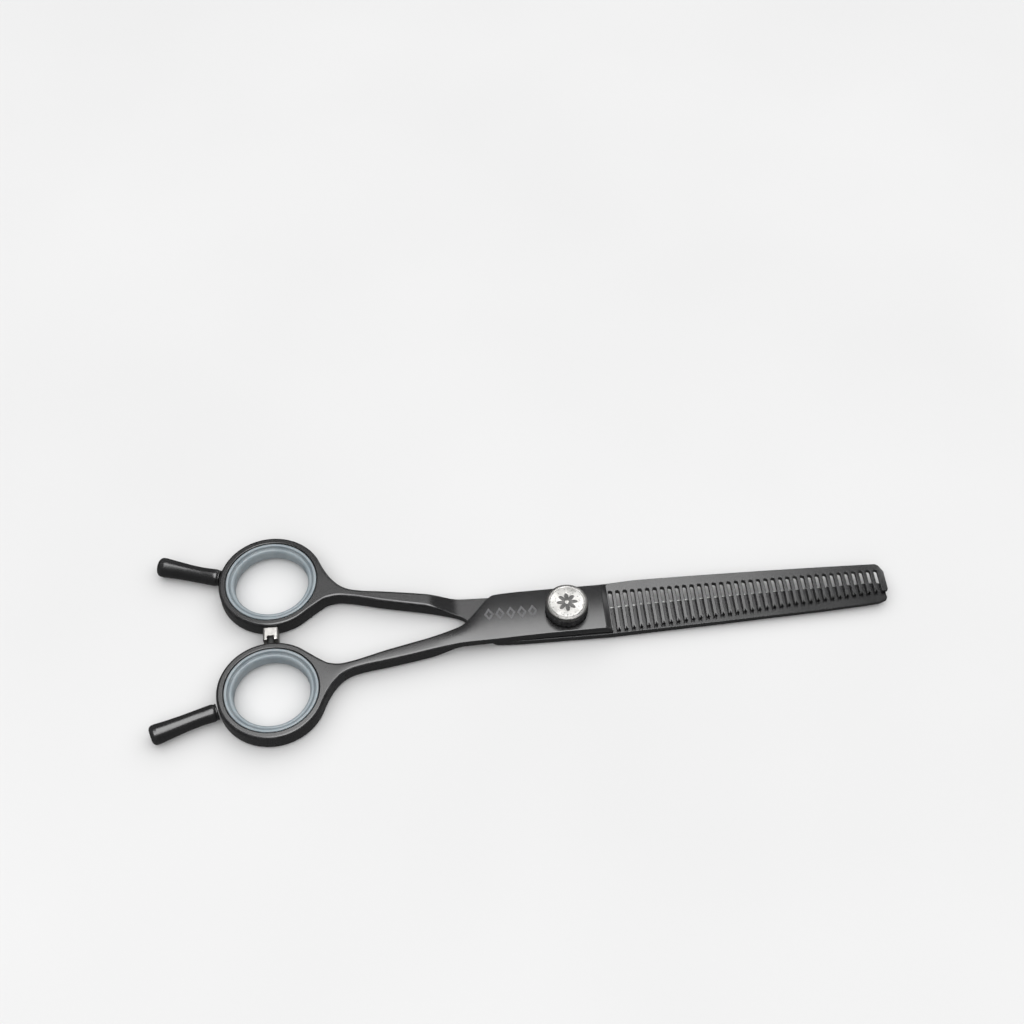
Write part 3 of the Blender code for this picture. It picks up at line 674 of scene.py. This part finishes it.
def pivot_profile(top, toothed):
    """The pivot hole from the outer face to the inner one, as (radius, height)."""
    first = COMB_POCKET if toothed else NUT_POCKET
    face = float(top(np.array([0.0]), np.array([first]))[0])
    mouth = [(first + OUTER_MOUTH, face), (first, face - OUTER_MOUTH)]
    if toothed:
        steps = [
            (COMB_POCKET, COMB_POCKET_Z), (BUSH_HOLE, COMB_POCKET_Z), (BUSH_HOLE, RIDE_POCKET_Z),
            (RIDE_POCKET, RIDE_POCKET_Z),
        ]
    else:
        steps = [(NUT_POCKET, NUT_POCKET_Z), (NUT_HOLE, NUT_POCKET_Z)]
    last = steps[-1][0]
    return mouth + steps + [(last, FIT + INNER_MOUTH), (last + INNER_MOUTH, FIT)]


def build_half(name, toothed):
    """One half as a single skin: ring, shank, body, step and blade."""
    build = Builder()
    top = half_top(comb_plate_top if toothed else cutting_plate_top)
    blade = comb_outline() if toothed else cutting_outline()
    loop = tidy_loop(np.concatenate([handle_outline(), blade]))
    radii = edge_radii(loop, toothed)
    outer_top, outer_bottom = rounded_wall(build, loop, top, half_bottom, *radii)

    centre = (RING_X, -RING_Y)
    bore = circle(*centre, RING_BORE, 200, clockwise=True)
    rim = np.full(len(bore), BORE_ROUND)
    bore_top, bore_bottom = rounded_wall(build, bore, top, half_bottom, rim, rim, steps=4)
    profile = pivot_profile(top, toothed)
    pivot_top, pivot_bottom = pocket_hole(build, (0.0, 0.0), profile)

    near_ring = (*centre, RING_RADIUS - 0.3)
    upper = clear_of(body_grid(0.9), [(0.0, 0.0, profile[0][0]), near_ring])
    upper += step_rows(-5.2, 5.9) if toothed else step_rows(-1.0, 5.7)
    under = clear_of(body_grid(1.2), [(0.0, 0.0, profile[-1][0]), near_ring])
    if toothed:
        upper_lines = [lozenge(*at, *size) for at in ETCH_AT for size in (ETCH_OUTER, ETCH_INNER)]
        under_lines = []
    else:
        upper_lines = [edge_line(PLATE_BACK + 0.6, 74.2, 60,
                                 lambda x: mix(*CUTTING_BEVEL, cutting_along(x)))]
        under_lines = [edge_line(PLATE_BACK + 0.45, CUTTING_TIP - 0.1, 80, lambda x: BARE_EDGE)]
    cap(build, [outer_top, bore_top, pivot_top], upper, top, 1.0, upper_lines,
        etched_zone if toothed else None)
    cap(build, [outer_bottom, bore_bottom, pivot_bottom], under, half_bottom, -1.0, under_lines,
        None if toothed else bare_zone)

    made = build.object(name)
    place(made, turned_over=not toothed)
    return made


def place(made, turned_over):
    """Puts a half built in its own frame where it stands, in its mesh."""
    mesh = made.data
    co = np.empty(len(mesh.vertices) * 3)
    mesh.vertices.foreach_get("co", co)
    co = co.reshape(-1, 3)
    normals = np.empty(len(mesh.loops) * 3)
    mesh.corner_normals.foreach_get("vector", normals)
    normals = normals.reshape(-1, 3)
    if turned_over:
        co[:, 1:] *= -1
        normals[:, 1:] *= -1
    co[:, 2] += MID_Z * MM
    mesh.vertices.foreach_set("co", co.ravel())
    mesh.update()
    mesh.normals_split_custom_set(normals.tolist())


def turned(name, profile, steps, centre=(0.0, 0.0, 0.0), axis="Z", wear=None, closed=True,
           ripple=None):
    """A turned piece from a millimetre profile of (radius, z), on an axis of its own."""
    verts, faces, edge = [], [], []
    n = len(profile)
    for k in range(steps):
        turn = math.tau * k / steps
        for i, (radius, z) in enumerate(profile):
            if ripple:
                radius = ripple(radius, turn)
            x, y = radius * math.cos(turn), radius * math.sin(turn)
            if axis == "Y":
                x, y, z = x, z, -y
            verts.append((centre[0] + x, centre[1] + y, centre[2] + z))
            edge.append(wear[i] if wear else 0.0)
    for k in range(steps):
        m = (k + 1) % steps
        for i in range(n if closed else n - 1):
            j = (i + 1) % n
            faces.append((k * n + i, m * n + i, m * n + j, k * n + j))
    return welded(name, verts, faces, edge, 38)


def arc(cx, cz, radius, start, end, steps):
    """Profile points round (cx, cz), with angles in degrees from the outward direction."""
    turns = np.radians(np.linspace(start, end, steps + 1))
    return [(cx + radius * math.cos(t), cz + radius * math.sin(t)) for t in turns]


# ---------------------------------------------------------------- materials
class Paint:
    """A node material whose fixed values sit on its shader's own sockets."""

    def __init__(self, name, colour, roughness, metallic=0.0, **sockets):
        self.made = bpy.data.materials.new(name)
        self.made.use_nodes = True
        self.tree = self.made.node_tree
        self.shader = self.tree.nodes["Principled BSDF"]
        self.set("Base Color", (*colour, 1.0))
        self.set("Roughness", roughness)
        self.set("Metallic", metallic)
        for socket, value in sockets.items():
            self.set(socket.replace("_", " "), value)
        self.made.diffuse_color = (*colour, 1.0)
        coords = self.node("ShaderNodeTexCoord")
        self.coords = coords.outputs["Object"]

    def set(self, socket, value):
        self.shader.inputs[socket].default_value = value

    def node(self, kind, **settings):
        made = self.tree.nodes.new(kind)
        for key, value in settings.items():
            setattr(made, key, value)
        return made

    def link(self, source, target):
        self.tree.links.new(source, target)

    def noise(self, per_mm, detail=3.0, stretch=(1, 1, 1)):
        """Noise with so many waves to a millimetre."""
        mapping = self.node("ShaderNodeMapping")
        mapping.inputs["Scale"].default_value = [1000 * per_mm * s for s in stretch]
        self.link(self.coords, mapping.inputs["Vector"])
        texture = self.node("ShaderNodeTexNoise")
        texture.inputs["Scale"].default_value = 1.0
        texture.inputs["Detail"].default_value = detail
        self.link(mapping.outputs["Vector"], texture.inputs["Vector"])
        return texture.outputs["Fac"]

    def map(self, value, low, high, to_low=0.0, to_high=1.0):
        made = self.node("ShaderNodeMapRange")
        made.inputs["From Min"].default_value = low
        made.inputs["From Max"].default_value = high
        made.inputs["To Min"].default_value = to_low
        made.inputs["To Max"].default_value = to_high
        self.link(value, made.inputs["Value"])
        return made.outputs["Result"]

    def math(self, operation, a, b):
        made = self.node("ShaderNodeMath", operation=operation)
        for socket, value in zip(made.inputs, (a, b)):
            if isinstance(value, (int, float)):
                socket.default_value = value
            else:
                self.link(value, socket)
        return made.outputs["Value"]

    def blend(self, factor, a, b):
        """From colour a to colour b as the factor goes from 0 to 1."""
        made = self.node("ShaderNodeMix", data_type="RGBA")
        self.link(factor, made.inputs["Factor"])
        for socket, value in zip((made.inputs[6], made.inputs[7]), (a, b)):
            if isinstance(value, tuple):
                socket.default_value = (*value, 1.0)
            else:
                self.link(value, socket)
        return made.outputs[2]

    def attribute(self, name):
        return self.node("ShaderNodeAttribute", attribute_name=name).outputs["Fac"]

    def bump(self, height, distance_mm, strength, after=None):
        made = self.node("ShaderNodeBump")
        made.inputs["Strength"].default_value = strength
        made.inputs["Distance"].default_value = distance_mm * MM
        self.link(height, made.inputs["Height"])
        if after is not None:
            self.link(after, made.inputs["Normal"])
        return made.outputs["Normal"]

    def finish(self, colour, roughness=None, normal=None):
        self.link(colour, self.shader.inputs["Base Color"])
        if roughness is not None:
            self.link(roughness, self.shader.inputs["Roughness"])
        if normal is not None:
            self.link(normal, self.shader.inputs["Normal"])
        return self.made


def coat_material():
    """Satin black coating on steel: a fine even grain, faint marks, edges rubbed brighter."""
    paint = Paint("black_coat_satin", (0.008, 0.008, 0.0085), 0.25, Specular_IOR_Level=0.95)
    cloud = paint.noise(0.09, detail=4.0)
    grain = paint.noise(7.0, detail=2.0)
    patches = paint.map(paint.noise(0.8), 0.35, 0.75)
    rubbed = paint.math("MULTIPLY", paint.attribute("edge_wear"), patches)
    cloudy = paint.map(cloud, 0.3, 0.7)
    tone = paint.blend(cloudy, (0.007, 0.007, 0.0075), (0.011, 0.011, 0.0115))
    tone = paint.blend(paint.math("MULTIPLY", rubbed, 0.2), tone, (0.12, 0.12, 0.125))
    rough = paint.map(cloud, 0.3, 0.7, 0.22, 0.28)
    rough = paint.math("SUBTRACT", rough, paint.math("MULTIPLY", rubbed, 0.06))
    fine = paint.bump(grain, 0.004, 0.35)
    return paint.finish(tone, rough, paint.bump(paint.noise(0.2, detail=2.0), 0.006, 0.15, fine))


def etched_material():
    """The mark in the coat: paler, matt and speckled."""
    paint = Paint("etched_mark", (0.09, 0.09, 0.095), 0.6)
    speck = paint.noise(5.0)
    tone = paint.blend(paint.map(speck, 0.35, 0.65), (0.06, 0.06, 0.063), (0.14, 0.14, 0.145))
    return paint.finish(tone, paint.map(speck, 0.3, 0.7, 0.5, 0.7), paint.bump(speck, 0.01, 0.6))


def bare_steel_material():
    """The honed band along the cutting edge."""
    paint = Paint("honed_steel", (0.42, 0.42, 0.42), 0.3, 1.0)
    lines = paint.noise(1.0, stretch=(9.0, 0.25, 1.0))
    tone = paint.blend(paint.map(lines, 0.3, 0.7), (0.36, 0.36, 0.36), (0.5, 0.5, 0.49))
    return paint.finish(tone, paint.map(lines, 0.3, 0.7, 0.26, 0.4), paint.bump(lines, 0.003, 0.4))


def silicone_material():
    """Cloudy pale blue-grey silicone with a soft sheen and a little dust."""
    paint = Paint(
        "blue_grey_silicone", (0.33, 0.38, 0.41), 0.38,
        Subsurface_Weight=0.25, Subsurface_Scale=0.0015, IOR=1.43,
        Coat_Weight=0.15, Coat_Roughness=0.3,
    )
    paint.set("Subsurface Radius", (0.6, 0.9, 1.0))
    cloud = paint.noise(0.25)
    dust = paint.noise(3.5, detail=2.0)
    tone = paint.blend(paint.map(cloud, 0.3, 0.7), (0.255, 0.295, 0.322), (0.32, 0.36, 0.38))
    tone = paint.blend(paint.map(dust, 0.64, 0.72, 0.0, 0.35), tone, (0.5, 0.51, 0.51))
    rough = paint.map(cloud, 0.3, 0.7, 0.32, 0.45)
    return paint.finish(tone, rough, paint.bump(paint.noise(2.0), 0.006, 0.3))


def cap_material():
    """Bright satin nickel, turned on a lathe, its engraving darker and rougher."""
    paint = Paint("satin_nickel", (0.70, 0.69, 0.67), 0.36, 1.0)
    paint.set("Anisotropic", 0.4)
    smear = paint.noise(0.5, detail=4.0)
    scratch = paint.noise(1.2, detail=2.0, stretch=(6.0, 0.4, 1.0))
    etched = paint.attribute("etched")
    pits = paint.noise(2.2, detail=2.0)
    tone = paint.blend(paint.map(smear, 0.35, 0.7), (0.66, 0.65, 0.63), (0.42, 0.415, 0.40))
    tone = paint.blend(paint.map(pits, 0.58, 0.68, 0.0, 0.8), tone, (0.15, 0.15, 0.145))
    tone = paint.blend(paint.math("MULTIPLY", etched, 0.85), tone, (0.09, 0.09, 0.09))
    rough = paint.map(smear, 0.3, 0.7, 0.3, 0.42)
    rough = paint.math("ADD", rough, paint.math("MULTIPLY", etched, 0.3))
    return paint.finish(tone, rough, paint.bump(scratch, 0.002, 0.15))


def dial_material():
    """Black anodised metal, the flutes' edges worn paler."""
    paint = Paint("black_anodised", (0.014, 0.014, 0.015), 0.42, Specular_IOR_Level=0.4)
    grain = paint.noise(6.0, detail=2.0)
    cloud = paint.noise(0.4)
    patches = paint.map(cloud, 0.35, 0.7, 0.0, 0.6)
    rubbed = paint.math("MULTIPLY", paint.attribute("edge_wear"), patches)
    tone = paint.blend(rubbed, (0.012, 0.012, 0.013), (0.07, 0.07, 0.072))
    rough = paint.map(cloud, 0.3, 0.7, 0.38, 0.48)
    return paint.finish(tone, rough, paint.bump(grain, 0.004, 0.35))


def steel_material(name, colour, roughness, per_mm=1.5):
    paint = Paint(name, colour, roughness, 1.0)
    lines = paint.noise(per_mm)
    darker = tuple(c * 0.8 for c in colour)
    tone = paint.blend(paint.map(lines, 0.3, 0.7, 0.0, 1.0), colour, darker)
    rough = paint.map(lines, 0.3, 0.7, roughness - 0.05, roughness + 0.08)
    return paint.finish(tone, rough, paint.bump(lines, 0.003, 0.35))


def plastic_material(name, colour, roughness, per_mm=2.0):
    paint = Paint(name, colour, roughness)
    speck = paint.noise(per_mm)
    lighter = tuple(c * 1.15 + 0.01 for c in colour)
    tone = paint.blend(paint.map(speck, 0.35, 0.65, 0.0, 1.0), colour, lighter)
    rough = paint.map(speck, 0.3, 0.7, roughness - 0.06, roughness + 0.06)
    return paint.finish(tone, rough, paint.bump(speck, 0.006, 0.4))


def floor_material():
    paint = Paint("studio_floor", (0.80, 0.80, 0.80), 0.65, Specular_IOR_Level=0.0)
    cloud = paint.noise(0.01, detail=2.0)
    tone = paint.blend(paint.map(cloud, 0.3, 0.7), (0.80, 0.80, 0.80), (0.77, 0.77, 0.77))
    return paint.finish(tone)


COAT = coat_material()
ETCHED = etched_material()
BARE = bare_steel_material()
SILICONE = silicone_material()
NICKEL = cap_material()
DIAL = dial_material()
SCREW_STEEL = steel_material("screw_steel_turned", (0.42, 0.42, 0.43), 0.32)
SPRING_STEEL = steel_material("spring_steel_blued", (0.28, 0.29, 0.32), 0.3)
BRONZE = steel_material("bush_bronze_turned", (0.55, 0.36, 0.16), 0.35)
NYLON = plastic_material("nylon_white", (0.76, 0.76, 0.72), 0.45)
RUBBER = plastic_material("rubber_black", (0.022, 0.022, 0.022), 0.7, 3.0)
COLLAR_STEEL = steel_material("collar_steel_satin", (0.66, 0.645, 0.62), 0.4, 0.8)


def dress(made, body, slot, nodes, *paints):
    """Gives a piece its materials, its body and the nodes it stands for; slot is not used."""
    for paint in paints:
        made.data.materials.append(paint)
    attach(made, body)
    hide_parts(*nodes)


# ---------------------------------------------------------------- pieces
def finger_insert(name, side):
    """A soft liner: a flat lip, a groove and a rounded crest at both faces, and a finger bore."""
    crest = [
        (10.6, 2.0), (10.57, 2.07), (10.48, 2.1), (10.12, 2.1), (10.03, 2.06), (9.98, 1.97),
        (9.95, 1.5), (9.9, 1.37), (9.81, 1.32), (9.71, 1.36), (9.62, 1.47), (9.5, 1.58),
        (9.34, 1.64), (9.16, 1.63), (8.98, 1.55), (8.82, 1.41), (8.7, 1.18), (8.63, 0.85),
        (8.6, 0.4),
    ]
    profile = crest + [(r, -z) for r, z in reversed(crest)]
    return turned(name, profile, 192, (RING_X, side * RING_Y, MID_Z))


def finger_rest(name, side):
    """A curved peg that thickens to a rounded end, with a narrow neck and a collar at the ring."""
    path = np.array(REST_PATH)
    path[:, 1] *= side
    run = np.concatenate([[0], np.cumsum(np.linalg.norm(np.diff(path[:, :2], axis=0), axis=1))])
    total = run[-1]
    axes = [list(zip(run, path[:, k])) for k in (0, 1)]
    body_radius = [(s, r) for s, r in zip(run, path[:, 2]) if s < total - 1.4]

    def centre(s):
        return np.array([float(curve_value(axis, s)) for axis in axes])

    shoulder = total - 1.05
    end = total - 0.02
    stations = list(REST_COLLAR)
    stations += [(s, float(curve_value(body_radius, s))) for s in np.linspace(1.3, total - 1.6, 40)]
    stations += [(total - 1.35, REST_END_RADIUS - 0.01), (shoulder, REST_END_RADIUS)]
    for k in range(1, 11):
        turn = math.pi / 2 * k / 10
        radius = REST_END_RADIUS - REST_END_ROUND * (1 - math.cos(turn))
        stations.append((shoulder + 1.02 * math.sin(turn), radius))
    stations += [(end, 0.6), (end, 0.0)]

    verts, faces, edge = [], [], []
    count = 56
    for s, radius in stations:
        ahead = centre(min(s + 0.2, total)) - centre(max(s - 0.2, 0))
        ahead /= np.linalg.norm(ahead)
        across = np.array([-ahead[1], ahead[0]])
        for k in range(count):
            turn = math.tau * k / count
            offset = across * radius * math.cos(turn)
            verts.append((*(centre(s) + offset), MID_Z + radius * math.sin(turn)))
            edge.append(0.8 if s > shoulder - 0.4 and radius > 1.3 else 0.15)
    for a in range(len(stations) - 1):
        for k in range(count):
            m = (k + 1) % count
            faces.append((a * count + k, a * count + m, (a + 1) * count + m, (a + 1) * count + k))
    return welded(name, verts, faces, edge, 50)


def tension_dial():
    """The fluted black dial, hollow for the spring and the screw head."""

    def flute(radius, turn):
        if radius < FLUTED_FROM:
            return radius
        return radius - FLUTE_DEPTH * (0.5 - 0.5 * math.cos(DIAL_FLUTES * turn)) ** 2

    corner = DIAL_RADIUS - DIAL_ROUND
    outer_mouth, inner_mouth = DIAL_MOUTH
    seat, under_seat = SCREW_SEAT
    profile = arc(corner, DIAL_TOP - DIAL_ROUND, DIAL_ROUND, 0, 90, 6)
    profile += [
        (outer_mouth, DIAL_TOP), (inner_mouth, DIAL_TOP), (inner_mouth, seat), (SCREW_HOLE, seat),
        (SCREW_HOLE, under_seat), (DIAL_RECESS, under_seat), (DIAL_RECESS, DIAL_BOTTOM),
    ]
    profile += arc(corner, DIAL_BOTTOM + DIAL_ROUND, DIAL_ROUND, 270, 360, 6)
    wear = [1.0] * 7 + [0.0] * 7 + [0.8] * 7
    return turned("tension_dial_fine", profile, 288, wear=wear, ripple=flute)


def dial_cap():
    """The bright cap: a flat field with an engraved rosette, a crest and a rounded rim."""
    steps = 240
    build = Builder()
    rings, etched = [], []

    def add(r, z, engraved=0.0):
        points = np.column_stack([circle(0, 0, r, steps), np.broadcast_to(z, (steps,))])
        rings.append(build.ring(points, np.zeros((steps, 3)), 0.0))
        etched.extend(np.broadcast_to(engraved, (steps,)).tolist())

    turns = np.arange(steps) * math.tau / steps
    reach = PETAL_ROOT + PETAL_REACH * np.abs(np.cos(4 * turns))
    for r in np.concatenate([np.linspace(0.12, 2.7, 44), np.linspace(2.8, 3.7, 9)]):
        petal = ease(reach + 0.08, reach - 0.08, r) if r > EYE_RADIUS else 0.0
        vein = math.exp(-(((r - EYE_RADIUS) / 0.08) ** 2))
        engraved = np.minimum(1.0, 0.9 * petal + 0.8 * vein)
        add(r, CAP_FIELD - PETAL_DEPTH * petal - VEIN_DEPTH * vein, engraved)
    for r in np.linspace(3.8, 4.1, 7):
        groove = math.exp(-(((r - GROOVE_RADIUS) / 0.05) ** 2))
        add(r, CAP_FIELD - GROOVE_DEPTH * groove, 0.35 * groove)
    for r in np.linspace(CREST_FROM, CREST_IN, 5):
        add(r, CAP_FIELD + (CAP_CREST - CAP_FIELD) * float(ease(CREST_FROM, CREST_IN, r)))
    rim = [(CREST_IN, CAP_CREST), (CREST_OUT, CAP_CREST), (4.76, 7.7), (CAP_RADIUS, 7.45),
           (CAP_RADIUS, 7.1)]
    wall = [
        (CAP_RADIUS, CAP_BOTTOM + 0.4), (CAP_RADIUS, CAP_BOTTOM + 0.12),
        (CAP_RADIUS - 0.12, CAP_BOTTOM), (CAP_SPIGOT, CAP_BOTTOM), (CAP_SPIGOT, CAP_UNDER),
        (0.1, CAP_UNDER),
    ]
    for r, z in [*round_corners(rim, [0, 0.3, 0.3, 0.2, 0])[1:], *wall]:
        add(r, z, RIM_DULL)

    for upper, lower in zip(rings, rings[1:]):
        build.band(upper, lower)
    for ring in (rings[0], rings[-1][::-1]):
        build.faces.append(tuple(int(i) for i in ring))
    made = new_object("dial_cap_fine", np.concatenate(build.verts), build.faces)
    point_values(made.data, "etched", etched)
    made.data.set_sharp_from_angle(angle=math.radians(40))
    return made


def bumper_pad():
    """A rubber plug with a domed end."""
    corner, in_pocket = PAD_RADIUS - PAD_ROUND, PAD_RADIUS - 0.02
    profile = [(0.0, PAD_END), (corner, PAD_END)]
    profile += arc(corner, PAD_END + PAD_ROUND, PAD_ROUND, -90, 0, 6)
    profile += [(PAD_RADIUS, -1.1), (in_pocket, -0.9), (in_pocket, PAD_BACK), (0.0, PAD_BACK)]
    return turned("bumper_pad_fine", profile, 72, (BUMPER_X, 0.0, MID_Z), axis="Y", closed=False)


def pivot_nut():
    """The blind nut: its flange, with a chamfer and a turned groove, shows on the back."""
    profile = [
        (0.0, 0.04), (1.2, 0.04), (1.3, 0.0), (2.7, 0.0), (2.76, 0.06), (2.9, 0.06), (2.96, 0.0),
        (3.84, 0.0), (3.95, 0.04), (4.0, 0.14), (4.0, 0.4), (3.95, 0.45), (2.8, 0.45), (2.8, 1.95),
        (2.7, 2.05), (1.75, 2.05), (1.7, 2.0), (1.7, 0.6), (0.0, 0.6),
    ]
    return turned("pivot_nut_fine", profile, 96, closed=False)


dress(build_half("comb_half_fine", True), "comb_half", "black_coat", ["comb_blade_half"],
      COAT, ETCHED, BARE)
dress(build_half("cutting_half_fine", False), "cutting_half", "black_coat", ["cutting_blade_half"],
      COAT, ETCHED, BARE)
for prefix, side, body in (("upper", 1, "cutting_half"), ("lower", -1, "comb_half")):
    dress(finger_insert(prefix + "_insert_fine", side), body, "blue_silicone",
          [prefix + "_finger_insert"], SILICONE)
    dress(finger_rest(prefix + "_rest_fine", side), body, "black_coat",
          [prefix + "_finger_rest"], COAT)
dress(tension_dial(), "dial", "black_dial", ["tension_dial"], DIAL)
dress(dial_cap(), "dial", "silver_cap", ["dial_cap"], NICKEL)
dress(bumper_pad(), "cutting_half", "black_rubber", ["bumper_pad"], RUBBER)
dress(pivot_nut(), "cutting_half", "screw_steel", ["pivot_nut"], SCREW_STEEL)

# the pieces that stay as the CAD has them
for node, paint in (
    ("bumper_stud", COLLAR_STEEL),
    ("pivot_screw", SCREW_STEEL),
    ("leaf_spring", SPRING_STEEL),
    ("pivot_bush", BRONZE),
    ("ride_washer", NYLON),
    ("friction_washer", NYLON),
):
    for material_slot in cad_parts[node].material_slots:
        material_slot.material = paint


# ---------------------------------------------------------------- floor, light and camera
FLOOR_HALF, FLOOR_Z = 3.0, -0.00005
WALL_RADIUS, WALL_HEIGHT = 2.9, 2.6
CAMERA_AT, CAMERA_AIM = (-0.0304, -0.1809, 0.2954), (-0.0096, 0.0323, 0.0)
CAMERA_LENS, CAMERA_SENSOR = 51.86, 36.0


def aimed(name, data, place_at, aim):
    """A light or a camera that stands at one point and looks at another."""
    made = in_scene(name, data)
    made.location = place_at
    made.rotation_euler = (Vector(aim) - Vector(place_at)).to_track_quat("-Z", "Y").to_euler()
    return made


def add_floor():
    mesh = bpy.data.meshes.new("floor")
    size = FLOOR_HALF
    corners = [(-size, -size, 0), (size, -size, 0), (size, size, 0), (-size, size, 0)]
    mesh.from_pydata(corners, [], [(0, 1, 2, 3)])
    made = in_scene("floor", mesh)
    made.location.z = FLOOR_Z
    made.data.materials.append(floor_material())
    made.visible_glossy = False


def add_backdrop():
    """A pale wall round the floor that only the camera sees."""
    mesh = bpy.data.meshes.new("backdrop")
    steps = 96
    ring = circle(0, 0, WALL_RADIUS, steps)
    verts = [(x, y, z) for z in (-0.01, WALL_HEIGHT) for x, y in ring]
    faces = [(k, k + steps, (k + 1) % steps + steps, (k + 1) % steps) for k in range(steps)]
    mesh.from_pydata(verts, [], faces)
    paint = Paint("studio_backdrop", (0.0, 0.0, 0.0), 1.0, Specular_IOR_Level=0.0)
    paint.set("Emission Color", (0.89, 0.89, 0.89, 1.0))
    paint.set("Emission Strength", 1.0)
    made = in_scene("backdrop", mesh)
    made.data.materials.append(paint.made)
    made.visible_glossy = False
    made.visible_diffuse = False
    made.visible_shadow = False


def add_sun(name, turn, strength, spread):
    """An even soft daylight over the whole floor, without a reflection."""
    data = bpy.data.lights.new(name, "SUN")
    data.energy = strength
    data.angle = math.radians(spread)
    made = in_scene(name, data)
    made.rotation_euler = [math.radians(t) for t in turn]
    made.visible_glossy = False


def add_light(name, place_at, aim, size, power, glossy=True, diffuse=True):
    """A rectangular light, seen in reflections only, on surfaces only, or both."""
    data = bpy.data.lights.new(name, "AREA")
    data.shape = "RECTANGLE"
    data.size, data.size_y = size
    data.energy = power
    made = aimed(name, data, place_at, aim)
    made.visible_glossy = glossy
    made.visible_diffuse = diffuse


def add_world():
    world = bpy.data.worlds.new("studio")
    world.use_nodes = True
    background = world.node_tree.nodes["Background"]
    background.inputs["Color"].default_value = (1.0, 1.0, 1.0, 1.0)
    background.inputs["Strength"].default_value = 0.12
    bpy.context.scene.world = world


def add_camera():
    data = bpy.data.cameras.new("camera")
    data.lens = CAMERA_LENS
    data.sensor_width = CAMERA_SENSOR
    bpy.context.scene.camera = aimed("camera", data, CAMERA_AT, CAMERA_AIM)


add_floor()
add_backdrop()
add_world()
add_light("overhead_sheen", (0.01, -0.04, 0.9), (0.01, -0.04, 0), (0.54, 1.08), 8.8, diffuse=False)
add_light("low_sheen", (1.0, 1.4, 0.6), (0, 0, 0), (2.0, 0.5), 3.5, diffuse=False)
add_sun("overhead_soft", (-8, 4, 0), 3.1, 120.0)
add_light("front_fill", (-0.3, -0.9, 0.6), (0, 0, 0), (0.8, 0.5), 1.2, glossy=False)
add_camera()
bpy.context.scene.view_settings.view_transform = "Standard"
